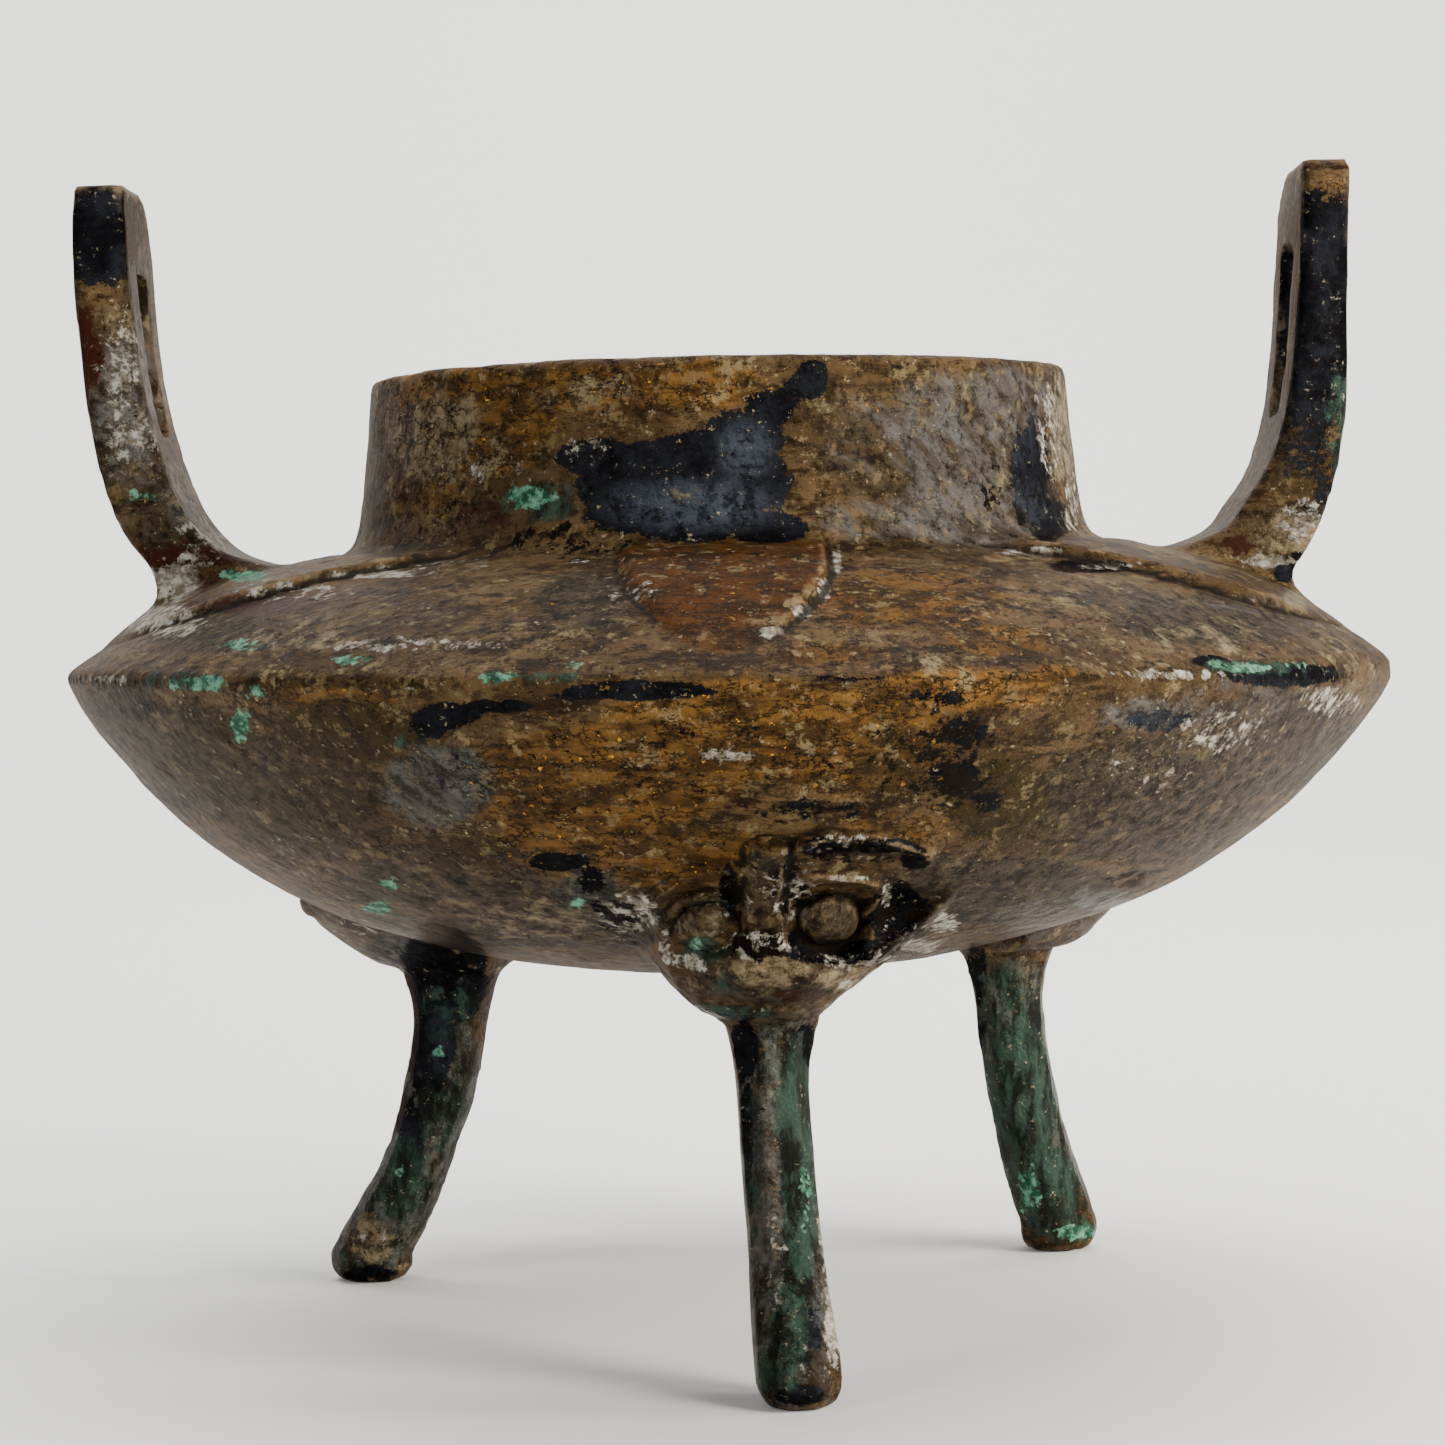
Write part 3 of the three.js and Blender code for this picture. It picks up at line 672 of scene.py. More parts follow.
def thin_out(made, keep, detail):
    """Fewer triangles, most of them left where detail is near one."""
    group = made.vertex_groups.new(name="detail")
    levels = np.clip((detail * 10).round().astype(int), 0, 10)
    for level in range(11):
        group.add(np.flatnonzero(levels == level).tolist(), level / 10, "REPLACE")
    modifier = made.modifiers.new("thin out", "DECIMATE")
    modifier.ratio = keep
    modifier.vertex_group = group.name
    modifier.invert_vertex_group = True
    modifier.vertex_group_factor = 4.0
    graph = bpy.context.evaluated_depsgraph_get()
    thinned = bpy.data.meshes.new_from_object(made.evaluated_get(graph))
    made.modifiers.clear()
    made.vertex_groups.clear()
    made.data = thinned
    edit = bmesh.new()
    edit.from_mesh(thinned)
    for _ in range(6):
        pinched = [edge for edge in edit.edges if len(edge.link_faces) != 2]
        if not pinched:
            break
        bmesh.ops.collapse(edit, edges=pinched)
        bmesh.ops.dissolve_degenerate(edit, edges=edit.edges[:], dist=1e-7)
    edit.to_mesh(thinned)
    edit.free()


def colour(code):
    """Linear colour from an sRGB hex code."""
    parts = [int(code[i:i + 2], 16) / 255 for i in (0, 2, 4)]
    return tuple(c / 12.92 if c <= 0.04045 else ((c + 0.055) / 1.055) ** 2.4 for c in parts) + (1.0,)


def add(tree, kind, settings, links, out=0):
    """Adds a node with its settings and links, sockets or plain values, and gives one of its outputs."""
    node = tree.nodes.new("ShaderNode" + kind)
    for name, value in settings.items():
        setattr(node, name, value)
    for name, value in links.items():
        if isinstance(value, bpy.types.NodeSocket):
            tree.links.new(value, node.inputs[name])
        else:
            node.inputs[name].default_value = value
    return node.outputs[out]


def per_metre(size):
    """Noise scale whose features are about as large as a size in millimetres."""
    return 1000.0 / size


# Noises of the bronze skin: size of the features in mm, detail, roughness, stretch, turn in
# radians, and shift in metres, which keeps them from following each other.
EVEN, UNTURNED = (1, 1, 1), (0, 0, 0)
SKIN_NOISES = {
    "flakes": (4.5, 9.0, 0.74, EVEN, UNTURNED, 0.55),
    "fine": (1.8, 7.0, 0.72, EVEN, UNTURNED, 0.0),
    "broad": (16, 7.0, 0.62, EVEN, UNTURNED, 0.02),
    "streaks": (8, 8.0, 0.7, (1, 1, 0.25), UNTURNED, 0.03),
    "scratches": (2.6, 6.0, 0.66, (1, 1, 3.5), (0, 2.2, 0.3), 0.21),
    "crust": (2.2, 8.0, 0.8, EVEN, UNTURNED, 0.9),
    "stray": (1.3, 6.0, 0.8, EVEN, UNTURNED, 3.3),
    "upright": (2.6, 7.0, 0.74, (1, 1, 3.5), UNTURNED, 8.8),
    "cells": (7, 7.0, 0.62, (1, 1, 0.5), UNTURNED, 5.2),
    "blots": (6, 9.0, 0.75, EVEN, UNTURNED, 2.1),
    "blisters": (3.4, 8.0, 0.75, EVEN, UNTURNED, 6.3),
    "holes": (2.0, 5.0, 0.75, EVEN, UNTURNED, 4.1),
    "pores": (2.6, 6.0, 0.75, EVEN, UNTURNED, 1.3),
    "sparks": (1.1, 3.0, 0.6, EVEN, UNTURNED, 7.7),
}


def outline(kind, noise, bite, edge, level=0.5):
    """Two shares: a kind of patch eaten into by a noise, and where that reaches a level."""
    middle = level + bite / 2
    return [(kind + " eaten", "MULTIPLY_ADD", noise, bite, kind),
            (kind + " patch", "STEP", kind + " eaten", middle - edge, middle + edge)]


# Shares between nothing and one, each made from noises, attributes and shares above it. A STEP
# gives a value, where it starts, where it ends, and the least and most that come out. The others
# are sums.
SKIN_SHARES = [
    ("drift", "STEP", "broad", 0.4, 0.6),
    ("dark streaks", "STEP", "streaks", 0.5, 0.6),
    ("gold streaks", "STEP", "streaks", 0.4, 0.58),
    *outline("gold", "flakes", 1.3, 0.14),
    ("speckles", "STEP", "fine", 0.42, 0.58),
    *outline("taupe", "streaks", 1.2, 0.2),
    *outline("olive", "broad", 1.2, 0.2),
    ("runs", "STEP", "upright", 0.42, 0.6),
    *outline("slate", "broad", 1.2, 0.2),
    ("crumbs", "STEP", "fine", 0.42, 0.6),
    *outline("tan", "flakes", 1.8, 0.16),
    ("wrinkles", "STEP", "scratches", 0.35, 0.65),
    *outline("silver", "scratches", 0.9, 0.25),
    ("leaf streaks", "STEP", "streaks", 0.42, 0.6),
    ("leaf cover", "STEP", "flakes", 0.36, 0.5, 0.6, 0.95),
    ("dark flecks", "STEP", "fine", 0.48, 0.4),
    ("smooth skin", "MAXIMUM", "taupe", "slate"),
    ("mottling", "STEP", "smooth skin", 0.1, 0.9, 0.7, 0.3),
    ("pale flakes", "STEP", "flakes", 0.57, 0.62),
    ("dark blots", "STEP", "blots", 0.55, 0.6),
    ("pale blisters", "STEP", "blisters", 0.57, 0.61),
    ("cells from middle", "SUBTRACT", "cells", 0.5),
    ("cells apart", "ABSOLUTE", "cells from middle"),
    ("cracks", "STEP", "cells apart", 0.018, 0.005),
    ("crack depth", "STEP", "gold", 0.0, 0.8, 0.4, 0.9),
    *outline("red", "flakes", 2.0, 0.1, 0.6),
    ("flakes held back", "MULTIPLY", "flakes", 0.6),
    ("ragged", "MULTIPLY_ADD", "stray", 0.4, "flakes held back"),
    *outline("black", "ragged", 2.8, 0.05),
    ("blue flakes", "STEP", "flakes", 0.42, 0.62, 0.0, 0.2),
    ("film", "STEP", "fine", 0.34, 0.56),
    ("silver film", "MULTIPLY", "silver", "film"),
    ("bluish", "MAXIMUM", "blue flakes", "silver film"),
    *outline("teal", "flakes", 2.2, 0.12),
    *outline("green", "crust", 3.4, 0.06, 0.6),
    *outline("chalk and highlight", "crust", 3.2, 0.06, 0.66),
    ("pale specks", "STEP", "stray", 0.62, 0.65),
    ("stray holes", "STEP", "holes", 0.65, 0.67),
    *outline("pits", "pores", 3.4, 0.04, 0.88),
    ("all pits", "MAXIMUM", "pits patch", "stray holes"),
    # painted shade: the hollows darkened towards near black
    ("hollow shade", "STEP", "crevice shade", 0.1, 0.8),
    ("shine", "STEP", "flakes", 0.4, 0.6),
    # raised edges made paler and shinier, partly as wear and partly as a painted highlight
    ("worn shine", "MULTIPLY", "edge wear and highlight", "shine"),
    ("rubbed and highlit edges", "STEP", "worn shine", 0.1, 0.7),
    ("glints", "STEP", "sparks", 0.68, 0.71),
    ("dull", "STEP", "fine", 0.4, 0.65),
]

# Layers from the metal outwards: the share it covers, how strongly, its colour or a share between
# two colours, how metallic and how rough it is.
SKIN_LAYERS = [
    # grey-brown and dark drift of the whole skin
    ("drift", 1, "57442b", 0.35, 0.48),
    ("dark streaks", 1, "241607", 0.4, 0.42),
    # golden ochre where the metal shines through
    ("gold patch", 1, ("gold streaks", "6b4c23", "3a2811"), 0.6, 0.4),
    # grey-brown, olive and grey skins
    ("taupe patch", 1, ("speckles", "1b140b", "3a3021"), 0.35, 0.48),
    ("olive patch", 1, "302407", 0.5, 0.38),
    ("slate patch", 1, ("runs", "0f120e", "4b4e47"), 0.55, 0.28),
    ("tan patch", 1, ("crumbs", "4a3e2c", "7a6b51"), 0.2, 0.5),
    # silvery grey film, wrinkled on the slant; on the right of the neck and along the front leg's right
    # edge its pale grey is partly a painted sheen
    ("silver patch", 0.8, ("wrinkles", "3a3229", "605f5d"), 0.7, 0.28),
    # redder brown of the front leaf plate
    ("petal", "leaf cover", ("leaf streaks", "4a2c08", "2c1a06"), 0.6, 0.5),
    # brown, dark and tan mottling over everything, weaker on the smooth grey skins
    ("dark flecks", 0.65, "0f0a05", 0.5, 0.5),
    ("pale flakes", "mottling", "80704f", 0.2, 0.5),
    ("dark blots", 0.65, "170f06", 0.4, 0.45),
    ("pale blisters", "mottling", "6b5a3c", 0.2, 0.5),
    ("cracks", "crack depth", "060402", 0.5, 0.6),
    # red-brown oxide in chips, and blue-black oxide with a ragged outline; in the grooves beside the
    # nose and under the right leaf plate's step the black is painted shade
    ("red patch", 1, "2a0c04", 0.3, 0.42),
    ("black patch", 1, ("bluish", "08090c", "363a41"), 0.9, 0.3),
    # verdigris: dull teal films and bright crumbs
    ("teal patch", 0.88, ("runs", "07110e", "294036"), 0.5, 0.25),
    ("green patch", 1, ("crumbs", "123f2e", "64977d"), 0.0, 0.7),
    # pale earth and lime caught in the roughest places, and stray specks of it; along the front leaf
    # plate's right edge, the right leaf plate's step, the right of the belly edge and the front leg's
    # right edge the same pale colour is a painted highlight
    ("chalk and highlight patch", 0.9, ("crumbs", "6a6252", "b2ada1"), 0.0, 0.75),
    ("pale specks", 0.85, "9a8c6e", 0.0, 0.7),
    # black pits, painted shade in the hollows, and raised edges made paler and shinier, partly worn bare
    # and partly a painted highlight
    ("all pits", 1, "050302", 0.5, 0.6),
    ("hollow shade", 0.9, "0b0805", 0.4, 0.6),
    ("rubbed and highlit edges", 0.5, "8a7558", 0.6, 0.3),
    # tiny glints of bare metal within the gold
    ("glints", "gold", "d09a3a", 1.0, 0.25),
    # dull brown inside
    ("inside", 1, ("dull", "211a12", "3d3428"), 0.1, 0.7),
]

# How far each share stands up in the bump, whose full depth is in millimetres.
SKIN_HEIGHTS = {"flakes": 0.9, "fine": 0.7, "stray": 0.3, "scratches": 0.6,
                "chalk and highlight patch": 0.3, "black patch": -0.15}
BUMP_DEPTH = 0.7


def corroded_bronze():
    """The bronze of the whole vessel.

    Cast bronze that lay long in the earth gives the eye a brown, half metallic skin with a low
    sheen, golden where it is thin, under blue-black, red and green corrosion and dull pale earth.
    Painted shade darkens its hollows and some grooves, and painted highlights lie on some edges.
    """
    material = bpy.data.materials.new("cast bronze with corrosion patches")
    material.use_nodes = True
    tree = material.node_tree
    place = add(tree, "TexCoord", {}, {}, "Object")
    share = {}
    for name, (size, detail, roughness, stretch, turn, shift) in SKIN_NOISES.items():
        moved = add(tree, "Mapping", {"vector_type": "TEXTURE"}, {
            "Vector": place, "Location": (shift, shift * 0.7, -shift), "Scale": stretch,
            "Rotation": turn})
        share[name] = add(tree, "TexNoise", {}, {
            "Vector": moved, "Scale": per_metre(size), "Detail": detail, "Roughness": roughness})
    for name in (*PATCHES, "petal", "crevice shade", "edge wear and highlight", "inside"):
        share[name] = add(tree, "Attribute", {"attribute_name": name}, {}, "Fac")
    for name, way, *given in SKIN_SHARES:
        given = [share.get(item, item) for item in given]
        if way == "STEP":
            links = dict(zip(("Value", "From Min", "From Max", "To Min", "To Max"), given))
            share[name] = add(tree, "MapRange", {"interpolation_type": "SMOOTHSTEP"}, links)
        else:
            share[name] = add(tree, "Math", {"operation": way}, dict(enumerate(given)))
    tint, metallic, roughness = colour("40301c"), 0.5, 0.45
    for where, strength, layer_tint, layer_metallic, layer_roughness in SKIN_LAYERS:
        over = add(tree, "Math", {"operation": "MULTIPLY"},
                   {0: share[where], 1: share.get(strength, strength)})
        if isinstance(layer_tint, tuple):
            by, first, second = layer_tint
            layer_tint = add(tree, "Mix", {"data_type": "RGBA"},
                             {0: share[by], 6: colour(first), 7: colour(second)}, 2)
        else:
            layer_tint = colour(layer_tint)
        tint = add(tree, "Mix", {"data_type": "RGBA"}, {0: over, 6: tint, 7: layer_tint}, 2)
        metallic = add(tree, "Mix", {"data_type": "FLOAT"}, {0: over, 2: metallic, 3: layer_metallic})
        roughness = add(tree, "Mix", {"data_type": "FLOAT"},
                        {0: over, 2: roughness, 3: layer_roughness})
    height = 0.0
    for name, weight in SKIN_HEIGHTS.items():
        height = add(tree, "Math", {"operation": "MULTIPLY_ADD"},
                     {0: share[name], 1: weight, 2: height})
    bump = add(tree, "Bump", {}, {"Height": height, "Distance": BUMP_DEPTH / 1000, "Strength": 1.0})
    shader = tree.nodes["Principled BSDF"]
    for name, value in (("Base Color", tint), ("Metallic", metallic), ("Roughness", roughness),
                        ("Normal", bump)):
        tree.links.new(value, shader.inputs[name])
    shader.inputs["Specular IOR Level"].default_value = 0.35
    shader.inputs["Specular Tint"].default_value = colour("9a8468")
    return material


# Patches as seen in the picture: pixels across and down, half width, half height
# and strength.
PATCHES = {
    "gold": [
        (470, 420, 90, 60, 1), (600, 390, 80, 30, 0.9), (430, 500, 50, 45, 0.6),
        (700, 385, 70, 30, 0.8), (665, 468, 28, 8, 0.9), (880, 395, 60, 25, 0.5),
        (600, 780, 150, 60, 1), (750, 730, 160, 55, 1), (560, 850, 90, 30, 0.9),
        (850, 740, 120, 60, 0.8), (960, 690, 110, 25, 0.9), (1050, 675, 30, 10, 1),
        (680, 860, 110, 40, 0.8), (900, 830, 80, 30, 0.5), (700, 600, 60, 45, 0.45),
        (900, 600, 150, 40, 0.6), (820, 655, 80, 15, 0.6), (1000, 640, 70, 20, 0.7),
        (520, 600, 90, 30, 0.35), (330, 700, 80, 15, 0.7), (760, 850, 18, 12, 1),
        (830, 922, 26, 26, 0.25), (705, 915, 20, 14, 0.4), (430, 378, 80, 8, 0.6),
        (1328, 185, 22, 14, 0.6)],
    # the rows in the grooves beside the nose and under the right leaf plate's step are painted shade;
    # the others are blue-black oxide
    "black": [
        (580, 458, 26, 14, 1), (600, 450, 36, 12, 1), (640, 470, 60, 30, 1), (700, 462, 60, 34, 1),
        (745, 440, 44, 34, 1), (770, 408, 30, 18, 1), (800, 388, 26, 14, 1), (812, 370, 18, 10, 1),
        (640, 512, 60, 26, 1), (700, 518, 80, 24, 1), (765, 528, 48, 16, 1), (745, 480, 50, 34, 1),
        (605, 490, 34, 20, 0.9), (1030, 470, 22, 60, 0.85), (1050, 520, 20, 25, 0.9),
        (448, 716, 36, 14, 0.95), (495, 706, 40, 8, 0.9), (428, 728, 22, 14, 0.75),
        (450, 775, 26, 26, 0.5), (650, 690, 80, 10, 1), (590, 693, 50, 7, 0.8),
        (850, 678, 60, 5, 0.7), (965, 735, 30, 22, 0.6), (955, 775, 34, 26, 0.66),
        (985, 800, 24, 18, 0.5), (930, 700, 40, 18, 0.6), (1160, 720, 40, 14, 0.65),
        (1280, 675, 70, 13, 1), (1210, 662, 20, 8, 0.8), (558, 862, 34, 10, 0.95),
        (592, 880, 16, 16, 0.85), (600, 905, 12, 12, 0.75), (800, 810, 90, 12, 0.5),
        (1130, 880, 40, 12, 0.5), (865, 846, 64, 9, 0.85), (820, 848, 20, 14, 0.8),
        (915, 858, 16, 12, 1), (850, 953, 70, 14, 1), (900, 915, 32, 34, 1),
        (800, 940, 16, 14, 0.8), (728, 890, 10, 30, 0.9), (790, 870, 8, 30, 0.7),
        (765, 945, 30, 14, 0.6), (745, 1050, 14, 34, 1), (805, 1060, 14, 40, 1),
        (746, 1150, 9, 90, 0.75), (785, 1180, 8, 60, 0.6), (790, 1260, 12, 30, 0.7),
        (745, 1280, 9, 80, 0.6), (812, 1330, 16, 50, 0.5), (800, 1395, 30, 12, 0.9),
        (445, 975, 44, 54, 1.1), (430, 1050, 26, 60, 1), (405, 1140, 20, 60, 0.85),
        (350, 1250, 14, 30, 0.3), (370, 1275, 30, 9, 1), (975, 1000, 14, 60, 0.9),
        (1000, 1120, 14, 50, 0.6), (97, 232, 48, 52, 1.1), (112, 300, 12, 50, 0.5),
        (1322, 310, 48, 130, 1.15), (1320, 470, 36, 60, 0.55), (1300, 560, 16, 14, 0.8),
        (1285, 570, 12, 12, 1), (1090, 566, 50, 8, 0.9),
        (1288, 380, 16, 130, 0.55)],
    "taupe": [
        (580, 600, 50, 34, 0.8), (180, 760, 90, 60, 0.9), (300, 800, 100, 70, 0.7),
        (450, 880, 140, 40, 0.7), (120, 700, 40, 30, 0.8), (540, 920, 100, 30, 0.9),
        (1150, 800, 130, 70, 0.9), (1280, 740, 90, 60, 1), (1000, 890, 130, 40, 0.9),
        (220, 630, 90, 30, 0.7), (400, 620, 140, 35, 0.5), (1200, 620, 120, 30, 0.8),
        (1080, 600, 80, 25, 0.4), (110, 400, 40, 100, 0.7), (170, 530, 60, 40, 0.7),
        (1270, 530, 60, 30, 0.6), (900, 450, 110, 80, 0.6), (770, 975, 90, 35, 0.9),
        (765, 1180, 24, 110, 0.8), (1290, 400, 20, 150, 1), (135, 300, 16, 100, 0.9),
        (400, 1150, 24, 70, 0.7), (630, 920, 50, 30, 0.9), (390, 1210, 50, 60, 0.8),
        (1060, 1210, 30, 40, 0.4), (830, 915, 32, 28, 1), (762, 890, 24, 44, 1),
        (705, 915, 34, 26, 0.8)],
    "olive": [
        (180, 750, 90, 50, 0.75), (300, 810, 80, 50, 0.75), (350, 730, 80, 40, 0.9),
        (300, 830, 60, 40, 0.6), (230, 800, 50, 40, 0.5), (470, 850, 60, 30, 0.6),
        (1000, 800, 60, 60, 0.7), (900, 760, 60, 60, 0.5), (1008, 985, 18, 25, 0.9),
        (690, 600, 40, 30, 0.4), (1315, 480, 25, 40, 0.6)],
    "slate": [
        (440, 785, 60, 44, 0.9), (590, 890, 40, 24, 0.7), (405, 1090, 80, 160, 1.1),
        (785, 1200, 70, 200, 1.1), (1020, 1090, 90, 140, 1.1), (785, 1060, 50, 40, 1),
        (130, 480, 40, 60, 0.4),
        (360, 1230, 50, 50, 1)],
    "tan": [
        (765, 968, 50, 22, 0.9), (850, 978, 40, 14, 0.8), (905, 900, 20, 30, 0.5),
        (540, 920, 100, 24, 0.5), (1250, 740, 80, 50, 0.25), (1290, 540, 40, 30, 0.7),
        (1300, 600, 30, 14, 0.6), (110, 320, 26, 26, 0.8), (1062, 430, 16, 60, 0.8),
        (430, 430, 50, 50, 0.55), (450, 520, 60, 20, 0.55), (850, 400, 60, 20, 0.5),
        (370, 1240, 34, 28, 0.7), (775, 1180, 14, 80, 0.2), (300, 640, 100, 14, 0.5),
        (1200, 640, 90, 20, 0.45), (960, 660, 60, 10, 0.4), (700, 930, 30, 30, 0.5),
        (600, 395, 90, 30, 0.5), (440, 440, 70, 60, 0.6)],
    # rows on the right of the neck and along the front leg's right edge lay a painted sheen and painted
    # highlight over the grey film
    "silver": [
        (690, 505, 84, 26, 1), (745, 450, 30, 30, 0.8), (960, 430, 76, 60, 0.9),
        (970, 510, 80, 40, 1), (1000, 400, 50, 35, 1), (870, 440, 60, 60, 0.4),
        (870, 520, 60, 24, 0.6), (700, 380, 25, 12, 0.4), (430, 790, 50, 50, 0.7),
        (1150, 715, 60, 20, 0.7), (1240, 700, 80, 30, 0.4), (600, 600, 80, 30, 0.25),
        (1250, 605, 60, 14, 0.5), (1050, 920, 70, 25, 0.6), (765, 1200, 20, 130, 0.6),
        (825, 1330, 12, 70, 1), (822, 1180, 10, 80, 1), (125, 400, 40, 90, 0.7),
        (165, 500, 40, 50, 0.5), (395, 1170, 24, 60, 0.7), (440, 1040, 14, 40, 0.5)],
    "red": [
        (250, 604, 80, 14, 0.8), (710, 440, 20, 10, 0.9), (460, 520, 70, 30, 0.6),
        (960, 440, 40, 30, 0.3), (88, 350, 20, 60, 0.9), (160, 560, 40, 24, 0.8),
        (215, 555, 30, 14, 0.9), (280, 600, 100, 25, 0.5), (170, 650, 60, 15, 0.5),
        (700, 620, 60, 30, 0.15), (800, 995, 40, 10, 0.6), (1230, 545, 40, 15, 0.6)],
    "teal": [
        (545, 500, 45, 25, 0.7), (530, 678, 60, 9, 0.7), (1250, 668, 60, 8, 0.8),
        (180, 680, 60, 14, 0.5), (700, 950, 26, 14, 0.9), (720, 1012, 60, 8, 0.9),
        (735, 985, 30, 14, 0.5), (796, 1120, 20, 80, 1), (800, 1230, 20, 70, 1),
        (790, 1330, 20, 60, 0.8), (765, 1370, 26, 30, 0.6), (750, 1180, 20, 100, 0.5),
        (450, 1010, 40, 40, 0.5), (440, 1110, 30, 50, 0.6), (400, 1180, 30, 50, 0.7),
        (350, 1240, 24, 30, 0.4), (1020, 1100, 40, 100, 1), (1050, 1190, 36, 50, 0.9),
        (1070, 1230, 28, 16, 0.9), (1000, 1000, 30, 40, 0.6), (1100, 900, 40, 14, 0.6),
        (165, 540, 20, 12, 0.5), (1338, 430, 14, 80, 0.6), (410, 740, 20, 12, 0.5)],
    "green": [
        (530, 497, 24, 13, 1), (205, 683, 22, 9, 1), (175, 684, 12, 6, 0.8), (240, 725, 10, 20, 1),
        (255, 690, 12, 8, 0.7), (245, 576, 28, 7, 0.9), (245, 645, 20, 8, 0.8),
        (350, 660, 24, 6, 0.8), (140, 500, 14, 14, 1), (500, 677, 22, 6, 0.9),
        (570, 665, 14, 6, 0.7), (378, 908, 16, 7, 1), (390, 884, 14, 6, 0.9),
        (578, 905, 8, 10, 0.7), (1245, 668, 30, 6, 0.9), (1300, 664, 20, 5, 0.7),
        (1216, 662, 10, 5, 0.7), (1030, 1190, 12, 30, 0.8), (1075, 1232, 24, 8, 1),
        (806, 1190, 8, 40, 0.6), (697, 943, 10, 8, 0.7), (440, 1052, 10, 8, 0.7),
        (400, 1170, 8, 10, 0.5)],
    # rows along the front leaf plate's right edge, the right leaf plate's step, the right of the belly
    # edge and the front leg's right edge are painted highlights; the others are pale earth and lime
    "chalk and highlight": [
        (836, 562, 7, 16, 1), (824, 590, 8, 14, 1), (803, 612, 13, 9, 1), (770, 632, 16, 7, 1),
        (376, 574, 46, 5, 1), (420, 690, 30, 5, 0.5), (600, 560, 40, 8, 0.5),
        (1040, 552, 50, 5, 0.8), (1120, 566, 50, 5, 0.7), (175, 580, 30, 25, 1),
        (200, 540, 40, 30, 0.7), (130, 440, 30, 50, 0.75), (120, 360, 26, 50, 0.75),
        (160, 620, 50, 20, 0.9), (290, 590, 80, 14, 0.6), (400, 645, 120, 10, 0.6),
        (450, 565, 60, 12, 0.5), (630, 590, 40, 20, 0.5), (430, 450, 50, 60, 0.35),
        (580, 450, 40, 20, 0.5), (500, 470, 60, 30, 0.4), (1050, 430, 16, 60, 0.7),
        (1072, 500, 10, 40, 0.7), (100, 680, 40, 8, 0.7), (1180, 675, 70, 6, 0.8),
        (1340, 660, 50, 20, 0.35), (720, 755, 35, 8, 0.9), (1220, 730, 60, 30, 0.6),
        (1150, 770, 60, 40, 0.4), (1330, 700, 40, 20, 0.7), (630, 915, 40, 25, 0.8),
        (845, 985, 10, 6, 1), (886, 897, 6, 20, 0.8), (850, 878, 36, 4, 0.75),
        (850, 838, 60, 4, 0.6), (920, 946, 22, 8, 1), (945, 924, 16, 14, 0.9),
        (790, 905, 24, 26, 0.7), (690, 962, 24, 10, 0.8), (665, 945, 9, 26, 0.7),
        (745, 905, 8, 20, 0.5), (935, 930, 25, 20, 0.5), (790, 890, 34, 40, 0.6),
        (760, 945, 40, 18, 0.8), (900, 930, 50, 24, 0.45), (860, 960, 60, 12, 0.6),
        (720, 900, 26, 30, 0.45), (700, 930, 50, 40, 0.3), (840, 850, 60, 14, 0.4),
        (375, 1240, 30, 20, 0.5), (822, 1130, 10, 50, 0.8), (828, 1220, 12, 60, 1),
        (834, 1310, 12, 60, 1.1), (775, 1250, 14, 80, 0.45), (800, 1350, 16, 40, 0.4),
        (770, 1215, 10, 40, 0.35), (1300, 520, 30, 40, 0.6), (1338, 350, 10, 100, 0.4),
        (1270, 560, 40, 10, 0.7), (300, 850, 50, 40, 0.4), (350, 930, 40, 20, 0.5)],
    "pits": [
        (450, 520, 90, 30, 0.6), (560, 540, 90, 20, 0.8), (900, 545, 90, 10, 0.6),
        (1010, 500, 40, 60, 0.7), (700, 440, 60, 20, 0.5), (700, 760, 250, 60, 0.55),
        (950, 760, 60, 80, 0.8), (620, 920, 30, 25, 0.9), (760, 945, 40, 20, 1),
        (895, 915, 40, 30, 0.8), (790, 890, 30, 40, 0.9), (850, 860, 60, 12, 0.8),
        (700, 950, 30, 20, 0.6), (960, 760, 50, 60, 0.9), (880, 760, 60, 50, 0.6),
        (800, 560, 150, 12, 0.6), (800, 678, 300, 6, 0.6), (100, 400, 30, 100, 0.4),
        (1320, 420, 25, 80, 0.6)],
}


# How far the patches of the back are shifted about, in pixels, and how strong they are there.
BACK_SHIFT = 75
BACK_STRENGTH = 0.85


def in_picture(p):
    """Pixels across and down at which places of the vessel stand in the picture."""
    q = (p - VIEW_PLACE) @ np.array(VIEW_TURN)
    return np.stack([PICTURE_MIDDLE - VIEW_SCALE * q[:, 0] / q[:, 2],
                     PICTURE_MIDDLE + VIEW_SCALE * q[:, 1] / q[:, 2]], axis=1)


def patch_values(seen, seen_behind, rows, front, rng):
    """Strength of one kind of patch; the back carries the front's patches shifted about."""
    value = np.zeros(len(seen))
    for across, down, half_width, half_height, strength in rows:
        half = (half_width, half_height)
        away = np.hypot(*((seen - (across, down)) / half).T)
        value = np.maximum(value, strength * smooth(1.5, 0.4, away) * front)
        shift = rng.uniform(-BACK_SHIFT, BACK_SHIFT, 2) * (1, 0.3)
        away = np.hypot(*((seen_behind - (across, down) - shift) / half).T)
        value = np.maximum(value, BACK_STRENGTH * strength * smooth(1.5, 0.4, away) * (1 - front))
    return value


def store(mesh, name, values):
    """Keeps a share for each vertex, for the material to read."""
    attribute = mesh.attributes.new(name, "FLOAT", "POINT")
    attribute.data.foreach_set("value", values.astype(np.float32))


